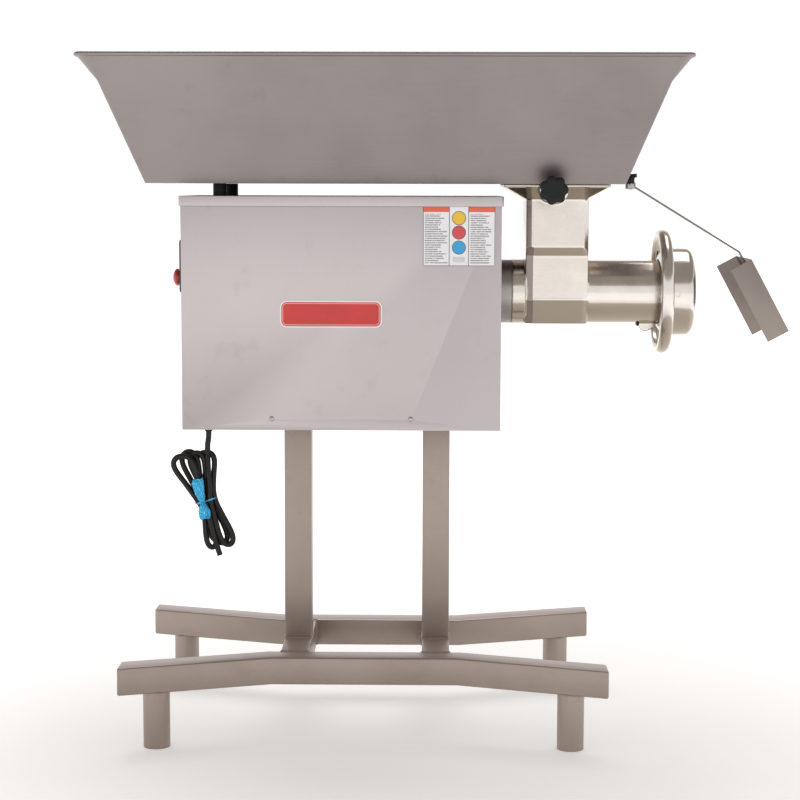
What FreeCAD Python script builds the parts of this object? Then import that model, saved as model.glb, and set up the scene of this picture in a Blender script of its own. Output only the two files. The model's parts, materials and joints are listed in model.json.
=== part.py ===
import FreeCAD, Part
import math
import os
import Sketcher

# Floor-standing meat grinder: feed pan on a cabinet that holds motor and gearbox,
# cast grinding head at the right, square-tube stand, splash guard on a swinging rod.
# Millimetres, +Z up, +X towards the outlet, origin on the floor under the middle.

DIMENSIONS = {
    # stand
    "standX": -135.4, "tubeSide": 50.8, "tubeWall": 3.0,
    "barHalf": 437.0, "kinkHalf": 173.0, "barMiddleY": 160.5, "barEndY": 250.5, "barBottom": 103.0,
    "footReach": 373.0, "footRadius": 24.15, "footWall": 3.2, "uprightReach": 130.0,
    "plateSide": 112.0, "plateThick": 6.0, "standBoltRadius": 5.0, "standBoltReach": 42.0,
    # cabinet
    "wallReach": 245.0, "cabinetLength": 575.0, "cabinetDepth": 330.0, "cabinetFloor": 568.0,
    "cabinetHeight": 419.5, "sheet": 1.5, "trayThick": 3.0, "trayFlange": 35.0, "sheetFit": 0.3,
    "lidHem": 18.0, "lidGap": 2.0, "lipWidth": 16.0, "noseHole": 57.0,
    "screwReach": 125.5, "screwHeight": 20.5, "screwRadius": 2.5, "screwHead": 4.6,
    "louvreLength": 96.0, "louvreHeight": 6.0, "louvrePitch": 18.0, "louvreCount": 9.0,
    "postRadius": 12.2, "postReach": 110.0, "postOffset": -222.0, "restGap": 0.3,
    "badgeLength": 183.0, "badgeHeight": 48.0, "badgeOffset": -18.0, "badgeZ": 778.0,
    "labelLength": 129.0, "labelHeight": 107.0, "labelOffset": 211.2, "labelZ": 918.5,
    "labelThick": 0.5,
    # switch on the left end
    "switchY": -60.0, "switchZ": 860.0, "bezelWidth": 62.0, "bezelHeight": 96.0, "bezelThick": 12.0,
    "buttonRadius": 12.7, "buttonReach": 21.0, "buttonFit": 0.3, "stemRadius": 4.0,
    "startTravel": 3.5, "stopTravel": 4.0, "mushroomRadius": 16.0,
    # drive line
    "barrelHeight": 812.0, "motorHeight": 690.0, "meshPlay": 0.3, "pressureAngle": 20.0,
    "fastModule": 2.0, "fastPinionTeeth": 18.0, "fastGearTeeth": 54.0, "fastWidth": 22.0,
    "slowModule": 2.5, "slowPinionTeeth": 18.0, "slowGearTeeth": 52.0, "slowWidth": 30.0,
    "runFit": 0.05, "spindleRadius": 22.0, "layRadius": 10.0, "rotorShaftRadius": 14.0,
    "tangSide": 26.0, "caseWall": 8.0, "noseRadius": 50.0,
    "caseLength": 120.0, "caseGap": 45.0, "coverThick": 14.0, "noseBore": 40.0,
    "motorRadius": 80.0, "motorWall": 6.0, "motorLength": 250.0, "bellThick": 12.0,
    "statorBore": 45.5, "airGap": 0.5, "stackLength": 150.0, "finCount": 20.0,
    "fanRadius": 65.0, "fanBlades": 7.0,
    # head
    "hubRadius": 59.3, "hubLength": 23.0, "hubGap": 0.5, "sealBore": 34.0,
    "collarRadius": 60.0, "collarLength": 28.5, "barrelRadius": 58.5, "barrelLength": 319.5,
    "boreRadius": 49.5, "journalRadius": 30.0, "journalLength": 21.5,
    "throatX": 106.0, "throatHalf": 57.5, "throatWall": 8.0, "throatDepth": 70.0, "blockDepth": 60.0,
    "throatTop": 173.0, "flangeZ": 199.2, "flangeThick": 5.2, "flangeHalf": 97.0, "flangeDepth": 112.0,
    "mouthHalf": 49.5, "mouthDepth": 48.0, "cornerCut": 9.5,
    "threadRadius": 61.5, "threadLength": 40.0, "augerFit": 1.0, "augerCore": 21.0, "augerPitch": 62.0,
    "knifeThick": 12.2, "plateLength": 12.0, "plateHole": 3.0, "studRadius": 8.0,
    "knifeSquare": 18.0, "thrustThick": 3.4, "thrustRadius": 56.0, "ringLip": 44.0,
    "cupRadius": 81.0, "cupLength": 46.0, "cupRound": 14.0, "wheelRadius": 115.5, "wheelThick": 17.0,
    "webThick": 8.0, "wheelSlots": 8.0, "slotRadius": 10.0, "slotReach": 92.0, "threadFit": 0.1,
    # pan and its clamp
    "panX": -99.4, "panBottom": 1011.5, "panSheet": 2.0, "panHeight": 222.0, "kneeHeight": 177.5,
    "panBottomHalf": 431.0, "panKneeHalf": 499.5, "panRimHalf": 536.0,
    "panBottomDepth": 150.0, "panRimDepth": 265.0, "panCorner": 3.0, "rimCorner": 20.0,
    "beadRadius": 4.0, "spoutFit": 2.5, "spoutDrop": 32.0,
    "clampX": 91.0, "clampZ": 188.7, "clampBoss": 22.0, "clampBossLength": 48.0,
    "clampScrewRadius": 5.0, "clampPadThick": 3.0, "knobRadius": 25.0, "knobLength": 26.0,
    "knobGap": 13.0, "knobLobes": 7.0, "clampLead": 1.5,
    # splash guard
    "pivotX": 454.0, "pivotZ": -0.5, "pivotRadius": 5.0, "eyeRadius": 9.0, "eyeWidth": 8.0,
    "earThick": 4.0, "rodRadius": 1.8, "rodLength": 239.0, "rodDrop": 31.4, "tailLength": 32.0,
    "tailFree": 13.2,
    "guardWidth": 180.0, "guardLength": 149.0, "guardFlange": 43.0, "guardSheet": 1.5, "guardLean": 28.4,
    # supply cord
    "cordRadius": 5.4, "cordX": -255.7, "cordY": -20.0, "glandLength": 20.0, "glandRadius": 11.0,
    "hankThick": 30.0, "hankTop": 511.0, "tieThick": 2.0,
}

doc = FreeCAD.newDocument("MeatGrinder")
sheet = doc.addObject("Spreadsheet::Sheet", "Dims")
for row, (alias, number) in enumerate(DIMENSIONS.items(), start=1):
    sheet.set(f"A{row}", alias)
    sheet.set(f"B{row}", str(number))
    sheet.setAlias(f"B{row}", alias)
doc.recompute()


# ---------------------------------------------------------------- sizes that know their formula

class Size:
    """A number together with the spreadsheet formula that gives it."""

    def __init__(self, formula, value):
        self.formula = formula
        self.value = value

    def __add__(self, other):
        other = size(other)
        return Size(f"({self.formula} + {other.formula})", self.value + other.value)

    def __sub__(self, other):
        other = size(other)
        return Size(f"({self.formula} - {other.formula})", self.value - other.value)

    def __mul__(self, other):
        other = size(other)
        return Size(f"({self.formula} * {other.formula})", self.value * other.value)

    def __truediv__(self, other):
        other = size(other)
        return Size(f"({self.formula} / {other.formula})", self.value / other.value)

    def __radd__(self, other):
        return size(other) + self

    def __rsub__(self, other):
        return size(other) - self

    def __rmul__(self, other):
        return size(other) * self

    def __neg__(self):
        return Size(f"(0 - {self.formula})", -self.value)


def size(number):
    if isinstance(number, Size):
        return number
    return Size(repr(float(number)), float(number))


def root(x):
    return Size(f"sqrt({x.formula})", math.sqrt(x.value))


def slope_angle(rise, run):
    return Size(f"atan({(rise / run).formula})", math.degrees(math.atan(rise.value / run.value)))


def tangent(angle):
    return Size(f"tan({angle.formula})", math.tan(math.radians(angle.value)))


def cosine(angle):
    return Size(f"cos({angle.formula})", math.cos(math.radians(angle.value)))


def sine(angle):
    return Size(f"sin({angle.formula})", math.sin(math.radians(angle.value)))


class Dimensions:
    """Reads the sheet's cells by name, as d.tubeSide."""

    def __getattr__(self, alias):
        return Size(f"Dims.{alias}", float(DIMENSIONS[alias]))


d = Dimensions()
ORIGIN = (0, 0, 0)
AXES = {"X": FreeCAD.Vector(1, 0, 0), "Y": FreeCAD.Vector(0, 1, 0), "Z": FreeCAD.Vector(0, 0, 1)}
ALONG = {
    "Z": FreeCAD.Rotation(),
    "X": FreeCAD.Rotation(AXES["Y"], 90),
    "Y": FreeCAD.Rotation(AXES["X"], -90),
}
subparts = []


# ---------------------------------------------------------------- modelling helpers

def keep(thing, name):
    """Marks a finished object as a sub-part; its Label becomes the file's name."""
    thing.Label = name
    subparts.append(thing)
    return thing


def place(thing, x, y, z, rotation=None):
    if rotation is not None:
        thing.Placement = FreeCAD.Placement(FreeCAD.Vector(), rotation)
    for axis, distance in zip("xyz", (x, y, z)):
        thing.setExpression(f"Placement.Base.{axis}", size(distance).formula)
    return thing


def new_body(name, at=ORIGIN, rotation=None):
    body = doc.addObject("PartDesign::Body", name)
    place(body, *at, rotation)
    return keep(body, name)


def new_sketch(body, plane, lift=0):
    """A sketch on one of the body's own origin planes, lifted along the plane's normal."""
    sketch = body.newObject("Sketcher::SketchObject", body.Name + "_sketch")
    support = next(f for f in body.Origin.OriginFeatures if f.Role == plane + "_Plane")
    sketch.AttachmentSupport = [(support, "")]
    sketch.MapMode = "FlatFace"
    sketch.setExpression("AttachmentOffset.Base.z", size(lift).formula)
    return sketch


def fix_point(sketch, geometry, end, x, y):
    for kind, own_axis, distance in (("DistanceX", -2, x), ("DistanceY", -1, y)):
        distance = size(distance)
        if distance.formula == "0.0":
            sketch.addConstraint(Sketcher.Constraint("PointOnObject", geometry, end, own_axis))
        else:
            index = sketch.addConstraint(
                Sketcher.Constraint(kind, -1, 1, geometry, end, distance.value))
            sketch.setExpression(f"Constraints[{index}]", distance.formula)


def polygon(sketch, points):
    points = [(size(x), size(y)) for x, y in points]
    first = sketch.GeometryCount
    count = len(points)
    for i in range(count):
        start, stop = points[i], points[(i + 1) % count]
        sketch.addGeometry(Part.LineSegment(FreeCAD.Vector(start[0].value, start[1].value, 0),
                                            FreeCAD.Vector(stop[0].value, stop[1].value, 0)), False)
    for i in range(count):
        sketch.addConstraint(
            Sketcher.Constraint("Coincident", first + i, 2, first + (i + 1) % count, 1))
        fix_point(sketch, first + i, 1, *points[i])


def rectangle(sketch, x0, x1, y0, y1):
    polygon(sketch, [(x0, y0), (x1, y0), (x1, y1), (x0, y1)])


def circle(sketch, x, y, radius):
    x, y, radius = size(x), size(y), size(radius)
    index = sketch.addGeometry(
        Part.Circle(FreeCAD.Vector(x.value, y.value, 0), AXES["Z"], radius.value), False)
    fix_point(sketch, index, 3, x, y)
    number = sketch.addConstraint(Sketcher.Constraint("Radius", index, radius.value))
    sketch.setExpression(f"Constraints[{number}]", radius.formula)


def rounded(sketch, half_x, half_y, radius):
    """A rectangle about the sketch's origin with round corners: lines and arcs by turns."""
    half_x, half_y, radius = size(half_x), size(half_y), size(radius)
    inner_x, inner_y = half_x - radius, half_y - radius
    corners = [(inner_x, -inner_y, -90), (inner_x, inner_y, 0), (-inner_x, inner_y, 90),
               (-inner_x, -inner_y, 180)]
    ends = []
    for x, y, start in corners:
        centre = FreeCAD.Vector(x.value, y.value, 0)
        arc = Part.ArcOfCircle(Part.Circle(centre, AXES["Z"], radius.value),
                               math.radians(start), math.radians(start + 90))
        ends.append((arc.StartPoint, arc.EndPoint))
        sketch.addGeometry(arc, False)
    for i in range(4):
        sketch.addGeometry(Part.LineSegment(ends[i][1], ends[(i + 1) % 4][0]), False)
    for i, (x, y, start) in enumerate(corners):
        line = 4 + i
        following = (i + 1) % 4
        sketch.addConstraint(Sketcher.Constraint("Tangent", i, 2, line, 1))
        sketch.addConstraint(Sketcher.Constraint("Tangent", line, 2, following, 1))
        fix_point(sketch, i, 3, x, y)
        number = sketch.addConstraint(Sketcher.Constraint("Radius", i, radius.value))
        sketch.setExpression(f"Constraints[{number}]", radius.formula)


def pad(body, sketch, length, both=False, reverse=False):
    feature = body.newObject("PartDesign::Pad", body.Name + "_pad")
    feature.Profile = sketch
    feature.SideType = "Symmetric" if both else "One side"
    feature.setExpression("Length", size(length).formula)
    feature.Reversed = reverse
    doc.recompute()
    return feature


def pocket(body, sketch, length, both=False, reverse=False):
    """Cuts with a sketch, and makes sure that something was cut."""
    before = body.Shape.Volume
    feature = body.newObject("PartDesign::Pocket", body.Name + "_pocket")
    feature.Profile = sketch
    feature.SideType = "Symmetric" if both else "One side"
    feature.setExpression("Length", size(length).formula)
    feature.Reversed = reverse
    doc.recompute()
    if body.Shape.Volume > before - 1e-3:
        raise ValueError(f"{body.Label}: a pocket cut nothing")
    return feature


def revolve(body, sketch, axis):
    feature = body.newObject("PartDesign::Revolution", body.Name + "_turn")
    feature.Profile = sketch
    feature.ReferenceAxis = (sketch, [axis])
    feature.Angle = 360
    doc.recompute()
    return feature


def repeat_round(body, feature, axis, count):
    pattern = body.newObject("PartDesign::PolarPattern", body.Name + "_round")
    pattern.Originals = [feature]
    pattern.Axis = (next(f for f in body.Origin.OriginFeatures if f.Role == axis + "_Axis"), [""])
    pattern.setExpression("Occurrences", size(count).formula)
    body.Tip = pattern
    doc.recompute()
    return pattern


def repeat_row(body, feature, axis, length, count):
    pattern = body.newObject("PartDesign::LinearPattern", body.Name + "_row")
    pattern.Originals = [feature]
    pattern.Direction = (next(f for f in body.Origin.OriginFeatures if f.Role == axis + "_Axis"), [""])
    pattern.setExpression("Length", size(length).formula)
    pattern.setExpression("Occurrences", size(count).formula)
    body.Tip = pattern
    doc.recompute()
    return pattern


def turned(name, at, profile):
    """A piece turned about its own X axis from (distance along, radius) points."""
    body = new_body(name, at)
    sketch = new_sketch(body, "XZ")
    polygon(sketch, profile)
    revolve(body, sketch, "H_Axis")
    return body


def cylinder(radius, length, x, y, z, axis="Z"):
    thing = doc.addObject("Part::Cylinder", "Cylinder")
    thing.setExpression("Radius", size(radius).formula)
    thing.setExpression("Height", size(length).formula)
    return place(thing, x, y, z, ALONG[axis])


def block(x0, x1, y0, y1, z0, z1):
    thing = doc.addObject("Part::Box", "Box")
    thing.setExpression("Length", (size(x1) - x0).formula)
    thing.setExpression("Width", (size(y1) - y0).formula)
    thing.setExpression("Height", (size(z1) - z0).formula)
    return place(thing, x0, y0, z0)


def hexagon(across_corners, length, x, y, z, axis="Z"):
    thing = doc.addObject("Part::Prism", "Hexagon")
    thing.Polygon = 6
    thing.setExpression("Circumradius", (size(across_corners) / 2).formula)
    thing.setExpression("Height", size(length).formula)
    return place(thing, x, y, z, ALONG[axis])


def fuse(shapes, refine=False):
    thing = doc.addObject("Part::MultiFuse", "Fusion")
    thing.Shapes = shapes
    thing.Refine = refine
    return thing


def cut(base, tool):
    thing = doc.addObject("Part::Cut", "Cut")
    thing.Base = base
    thing.Tool = tool
    return thing


def common(first, second):
    thing = doc.addObject("Part::MultiCommon", "Common")
    thing.Shapes = [first, second]
    return thing


def tube_ring(outer, inner, length, x, y, z, axis="X"):
    return cut(cylinder(outer, length, x, y, z, axis), cylinder(inner, length, x, y, z, axis))


def shaped(name, shape, at=ORIGIN, rotation=None):
    """A sub-part whose outline only a formula can give."""
    thing = doc.addObject("Part::Feature", name)
    thing.Shape = shape
    place(thing, *at, rotation)
    return keep(thing, name)


# ---------------------------------------------------------------- places shared by several pieces

half_tube = d.tubeSide / 2
bar_top = d.barBottom + d.tubeSide
cabinet_half = d.cabinetLength / 2
cabinet_depth = d.cabinetDepth / 2
cabinet_top = d.cabinetFloor + d.cabinetHeight
lid_top = cabinet_top + d.sheet
upright_top = d.cabinetFloor - d.plateThick
face_x = d.standX + d.wallReach            # outside of the cabinet's right wall
cabinet_x = face_x - cabinet_half
left_x = cabinet_x - cabinet_half
drive = (face_x, 0, d.barrelHeight)        # frame of everything on the barrel's axis
head_start = d.hubGap + d.hubLength
barrel_end = head_start + d.barrelLength
plate_start = barrel_end - d.plateLength + 2
plate_end = plate_start + d.plateLength
case_right = -d.caseGap
case_left = case_right - d.caseLength
cover_left = case_left - d.coverThick
bell_left = cover_left - d.bellThick
motor_left = bell_left - d.motorLength
fast_distance = (d.fastPinionTeeth + d.fastGearTeeth) * d.fastModule / 2 + d.meshPlay
slow_distance = (d.slowPinionTeeth + d.slowGearTeeth) * d.slowModule / 2 + d.meshPlay
drop = d.barrelHeight - d.motorHeight
lay_rise = (fast_distance * fast_distance - slow_distance * slow_distance + drop * drop) / (drop * 2)
lay_y = root(fast_distance * fast_distance - lay_rise * lay_rise)
lay_z = lay_rise - drop
switch_x = left_x


# ---------------------------------------------------------------- stand

def bent_outline(sketch, side, outer, inner, reach):
    """A bar's plan between two offsets from its centre line; its ends are cut square to X."""
    angle = slope_angle(d.barEndY - d.barMiddleY, d.barHalf - d.kinkHalf)
    skew = tangent(angle)
    points = []
    for offset, order in ((outer, (-1, 1)), (inner, (1, -1))):
        kink_x = d.kinkHalf - offset * tangent(angle / 2)
        kink_y = (d.barMiddleY + offset) * side
        end_y = (d.barMiddleY + offset / cosine(angle) + (reach - d.kinkHalf) * skew) * side
        ends = [(reach * order[0], end_y), (kink_x * order[0], kink_y)]
        points += ends + [(kink_x * order[1], kink_y), (reach * order[1], end_y)]
    polygon(sketch, points)


def bent_bar(name, side):
    body = new_body(name, (d.standX, 0, d.barBottom))
    outline = new_sketch(body, "XY")
    bent_outline(outline, side, half_tube, -half_tube, d.barHalf)
    pad(body, outline, d.tubeSide)
    hollow = new_sketch(body, "XY", half_tube)
    inside = half_tube - d.tubeWall
    bent_outline(hollow, side, inside, -inside, d.barHalf - d.tubeWall)
    pocket(body, hollow, inside * 2, both=True)


bent_bar("front_bar", -1)
bent_bar("rear_bar", 1)


def square_tube(name, plane, at, length, both=False):
    body = new_body(name, at)
    sketch = new_sketch(body, plane)
    rectangle(sketch, -half_tube, half_tube, -half_tube, half_tube)
    inside = half_tube - d.tubeWall
    rectangle(sketch, -inside, inside, -inside, inside)
    pad(body, sketch, length, both=both)


for name, side in (("left", -1), ("right", 1)):
    tube_x = d.standX + d.uprightReach * side
    square_tube(name + "_cross_tube", "XZ", (tube_x, 0, d.barBottom + half_tube),
                (d.barMiddleY - half_tube) * 2, both=True)
    square_tube(name + "_upright", "XY", (tube_x, 0, bar_top), upright_top - bar_top)

foot_y = d.barMiddleY + (d.footReach - d.kinkHalf) * (d.barEndY - d.barMiddleY) / (
    d.barHalf - d.kinkHalf)
keep(fuse([tube_ring(d.footRadius, d.footRadius - d.footWall, d.barBottom,
                     d.standX + d.footReach * across, foot_y * along, 0, "Z")
           for across in (-1, 1) for along in (-1, 1)]), "feet")

plate_half = d.plateSide / 2
mounting_plates = []
stand_bolts = []
for side in (-1, 1):
    plate_x = d.standX + d.uprightReach * side
    plate = block(plate_x - plate_half, plate_x + plate_half, -plate_half, plate_half,
                  upright_top, d.cabinetFloor)
    holes = []
    for across in (-1, 1):
        for along in (-1, 1):
            bolt_x = plate_x + d.standBoltReach * across
            bolt_y = d.standBoltReach * along
            holes.append(cylinder(d.standBoltRadius, d.plateThick, bolt_x, bolt_y, upright_top))
            head = hexagon(d.standBoltRadius * 3.9, d.standBoltRadius * 1.3, bolt_x, bolt_y,
                           upright_top - d.standBoltRadius * 1.3)
            shank = cylinder(d.standBoltRadius, d.plateThick + d.trayThick + 14, bolt_x, bolt_y,
                             upright_top)
            nut = hexagon(d.standBoltRadius * 3.9, d.standBoltRadius * 1.6, bolt_x, bolt_y,
                          d.cabinetFloor + d.trayThick)
            stand_bolts.append(fuse([head, shank, nut]))
    mounting_plates.append(cut(plate, fuse(holes)))
keep(fuse(mounting_plates), "mounting_plates")
keep(fuse(stand_bolts), "stand_bolts")


# ---------------------------------------------------------------- cabinet

tray = new_body("cabinet_tray", (cabinet_x, 0, d.cabinetFloor))
tray_x = cabinet_half - d.sheet - d.sheetFit
tray_y = cabinet_depth - d.sheet - d.sheetFit
sketch = new_sketch(tray, "XY")
rectangle(sketch, -tray_x, tray_x, -tray_y, tray_y - d.sheet)
pad(tray, sketch, d.trayFlange)
sketch = new_sketch(tray, "XY", d.trayThick)
rectangle(sketch, d.trayThick - tray_x, tray_x - d.trayThick, d.trayThick - tray_y,
          tray_y - d.sheet - d.trayThick)
pocket(tray, sketch, d.trayFlange, reverse=True)
sketch = new_sketch(tray, "XY")
for side in (-1, 1):
    for across in (-1, 1):
        for along in (-1, 1):
            circle(sketch, d.standX - cabinet_x + d.uprightReach * side + d.standBoltReach * across,
                   d.standBoltReach * along, d.standBoltRadius)
circle(sketch, d.cordX, d.cordY, d.glandRadius * 0.75)
pocket(tray, sketch, d.trayThick, reverse=True)

shell = new_body("cabinet_shell", (cabinet_x, 0, d.cabinetFloor))
sketch = new_sketch(shell, "XY")
back = cabinet_depth - d.sheet
lip_x = cabinet_half - d.lipWidth
inner_x = cabinet_half - d.sheet
front = -cabinet_depth
polygon(sketch, [(-lip_x, back), (-cabinet_half, back), (-cabinet_half, front), (cabinet_half, front),
                 (cabinet_half, back), (lip_x, back), (lip_x, back - d.sheet),
                 (inner_x, back - d.sheet), (inner_x, front + d.sheet), (-inner_x, front + d.sheet),
                 (-inner_x, back - d.sheet), (-lip_x, back - d.sheet)])
pad(shell, sketch, d.cabinetHeight)
sketch = new_sketch(shell, "YZ", inner_x - 2)
circle(sketch, 0, d.barrelHeight - d.cabinetFloor, d.noseHole)
pocket(shell, sketch, d.sheet + 4, reverse=True)
sketch = new_sketch(shell, "YZ", -cabinet_half - 2)
opening = d.buttonRadius + 6
rectangle(sketch, d.switchY - opening, d.switchY + opening,
          d.switchZ - d.cabinetFloor - opening - d.buttonReach,
          d.switchZ - d.cabinetFloor + opening + d.buttonReach)
pocket(shell, sketch, d.sheet + 4, reverse=True)

panel = new_body("rear_panel", (cabinet_x, 0, d.cabinetFloor))
sketch = new_sketch(panel, "XZ", -cabinet_depth)
rectangle(sketch, -cabinet_half, cabinet_half, 0, d.cabinetHeight)
pad(panel, sketch, d.sheet)
sketch = new_sketch(panel, "XZ", -cabinet_depth - 1)
for side in (-1, 1):
    middle = d.louvreLength * 0.8 * side
    rectangle(sketch, middle - d.louvreLength / 2, middle + d.louvreLength / 2, 120,
              120 + d.louvreHeight)
louvre = pocket(panel, sketch, d.sheet + 2, reverse=True)
repeat_row(panel, louvre, "Z", d.louvrePitch * (d.louvreCount - 1), d.louvreCount)

lid = new_body("cabinet_lid", (cabinet_x, 0, lid_top))
lid_out = d.lidGap + d.sheet
sketch = new_sketch(lid, "XY", -d.lidHem)
rounded(sketch, cabinet_half + lid_out, cabinet_depth + lid_out, d.lidGap * 3 + d.sheet)
pad(lid, sketch, d.lidHem)
sketch = new_sketch(lid, "XY", -d.lidHem)
rounded(sketch, cabinet_half + d.lidGap, cabinet_depth + d.lidGap, d.lidGap * 3)
pocket(lid, sketch, d.lidHem - d.sheet, reverse=True)

panel_screws = []
for side in (-1, 1):
    for depth, outward in ((-cabinet_depth, -1), (cabinet_depth, 1)):
        screw_x = cabinet_x + d.screwReach * side
        screw_z = d.cabinetFloor + d.screwHeight
        start = depth if outward < 0 else depth - 9
        shank = cylinder(d.screwRadius, 9, screw_x, start, screw_z, "Y")
        head_y = depth - 1.6 if outward < 0 else depth
        head = cylinder(d.screwHead, 1.6, screw_x, head_y, screw_z, "Y")
        panel_screws.append(fuse([shank, head]))
keep(fuse(panel_screws), "panel_screws")
for thing, depth in ((shell, -cabinet_depth - 1), (panel, cabinet_depth + 1)):
    sketch = new_sketch(thing, "XZ", -depth)
    for side in (-1, 1):
        circle(sketch, d.screwReach * side, d.screwHeight, d.screwRadius)
    pocket(thing, sketch, d.sheet + 2, reverse=depth.value > 0)
for depth in (-cabinet_depth, tray_y - d.sheet + 1):
    sketch = new_sketch(tray, "XZ", -depth)
    for side in (-1, 1):
        circle(sketch, d.screwReach * side, d.screwHeight, d.screwRadius)
    pocket(tray, sketch, d.trayThick + d.sheet * 2 + 1, reverse=depth.value > 0)

posts = [cylinder(d.postRadius, d.panBottom - d.restGap - lid_top, cabinet_x + d.postOffset,
                  d.postReach * side, lid_top) for side in (-1, 1)]
keep(fuse(posts), "pan_posts")


def plaque(name, x, z, length, height, corner):
    """A thin plate on the cabinet's front."""
    body = new_body(name, (x, -cabinet_depth, z))
    sketch = new_sketch(body, "XZ")
    rounded(sketch, length / 2, height / 2, corner)
    pad(body, sketch, d.labelThick)


plaque("front_badge", cabinet_x + d.badgeOffset, d.badgeZ, d.badgeLength, d.badgeHeight, 12)
plaque("info_label", cabinet_x + d.labelOffset, d.labelZ, d.labelLength, d.labelHeight, 3)


# ---------------------------------------------------------------- switch

def switch_at(forward):
    return (switch_x + forward, d.switchY, d.switchZ)


bezel = new_body("switch_bezel", switch_at(0))
sketch = new_sketch(bezel, "YZ")
rounded(sketch, d.bezelWidth / 2, d.bezelHeight / 2, 8)
pad(bezel, sketch, d.bezelThick, reverse=True)
sketch = new_sketch(bezel, "YZ", 1)
for side in (-1, 1):
    circle(sketch, 0, d.buttonReach * side, d.buttonRadius + d.buttonFit)
pocket(bezel, sketch, d.bezelThick + 2)

contacts = new_body("switch_block", switch_at(d.sheet))
sketch = new_sketch(contacts, "YZ")
rectangle(sketch, -d.bezelWidth * 0.38, d.bezelWidth * 0.38, -d.bezelHeight * 0.44, d.bezelHeight * 0.44)
pad(contacts, sketch, 40)
sketch = new_sketch(contacts, "YZ", -1)
for side in (-1, 1):
    circle(sketch, 0, d.buttonReach * side, d.stemRadius + d.buttonFit)
pocket(contacts, sketch, 12, reverse=True)


def button(name, side, profile):
    turned(name, (switch_x, d.switchY, d.switchZ + d.buttonReach * side), profile)


cap_front = -d.bezelThick - 2
cap_back = cap_front + 9
stem_end = d.sheet - 0.5
button("start_button", 1, [
    (cap_front, 0), (cap_front, d.buttonRadius - 1), (cap_front + 1, d.buttonRadius),
    (cap_back, d.buttonRadius), (cap_back, d.stemRadius), (stem_end, d.stemRadius), (stem_end, 0)])
mushroom_back = -d.bezelThick - d.stopTravel - 1
mushroom_front = mushroom_back - 9
button("stop_button", -1, [
    (mushroom_front, 0), (mushroom_front, d.mushroomRadius - 7),
    (mushroom_front + 3, d.mushroomRadius - 2), (mushroom_front + 6, d.mushroomRadius),
    (mushroom_back, d.mushroomRadius), (mushroom_back, d.buttonRadius),
    (-3 - d.stopTravel, d.buttonRadius), (-3 - d.stopTravel, d.stemRadius),
    (stem_end, d.stemRadius), (stem_end, 0)])


# ---------------------------------------------------------------- gears

def involute_point(base_radius, radius):
    """Polar angle that the involute of a base circle has reached at a radius."""
    pressure = math.acos(min(1.0, base_radius / radius))
    return math.tan(pressure) - pressure


def gear_wire(module, teeth, turn):
    """One closed outline of a spur gear about the origin of the YZ plane."""
    pressure = math.radians(d.pressureAngle.value)
    pitch_radius = module * teeth / 2
    base_radius = pitch_radius * math.cos(pressure)
    tip_radius = pitch_radius + module
    root_radius = pitch_radius - 1.25 * module
    half_tooth = math.pi / (2 * teeth) + involute_point(base_radius, pitch_radius)
    flank_start = max(base_radius, root_radius)
    steps = 4
    radii = [flank_start + (tip_radius - flank_start) * i / steps for i in range(steps + 1)]

    def spot(radius, angle):
        return FreeCAD.Vector(0, radius * math.cos(angle), radius * math.sin(angle))

    edges = []
    for tooth in range(teeth):
        middle = turn + 2 * math.pi * tooth / teeth
        following = middle + 2 * math.pi / teeth
        sides = []
        for sign in (-1, 1):
            flank = [spot(r, middle + sign * (half_tooth - involute_point(base_radius, r)))
                     for r in radii]
            curve = Part.BSplineCurve()
            curve.interpolate(flank if sign < 0 else flank[::-1])
            sides.append((curve.toShape(), flank))
        rising, falling = sides
        foot_a = spot(root_radius, middle - half_tooth)
        foot_b = spot(root_radius, middle + half_tooth)
        next_foot = spot(root_radius, following - half_tooth)
        valley = spot(root_radius, (middle + following) / 2)
        edges.append(Part.LineSegment(foot_a, rising[1][0]).toShape())
        edges.append(rising[0])
        edges.append(Part.Arc(rising[1][-1], spot(tip_radius, middle), falling[1][-1]).toShape())
        edges.append(falling[0])
        edges.append(Part.LineSegment(falling[1][0], foot_b).toShape())
        edges.append(Part.Arc(foot_b, valley, next_foot).toShape())
    return Part.Wire(edges)


def gear_shape(module, teeth, width, start, turn, bore):
    outline = Part.Face(gear_wire(module, teeth, turn))
    teeth_solid = outline.extrude(FreeCAD.Vector(width, 0, 0))
    teeth_solid.translate(FreeCAD.Vector(start, 0, 0))
    if bore:
        hole = Part.makeCylinder(bore, width, FreeCAD.Vector(start, 0, 0), AXES["X"])
        teeth_solid = teeth_solid.cut(hole)
    return teeth_solid


def mesh_turn(teeth, direction, gap_faces):
    """Turns a gear so that a tooth, or a gap, faces along a direction angle."""
    return direction + (math.pi / teeth if gap_faces else 0.0)


to_output = math.atan2(-lay_z.value, -lay_y.value)          # from the layshaft to the spindle
to_motor = math.atan2(-drop.value - lay_z.value, -lay_y.value)
fast_teeth = int(d.fastGearTeeth.value)
fast_pinion = int(d.fastPinionTeeth.value)
slow_teeth = int(d.slowGearTeeth.value)
slow_pinion = int(d.slowPinionTeeth.value)
slow_start = (cover_left + 61).value
fast_start = (cover_left + 29).value
lay_at = (face_x, lay_y, d.barrelHeight + lay_z)
motor_at = (face_x, 0, d.motorHeight)

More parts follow.
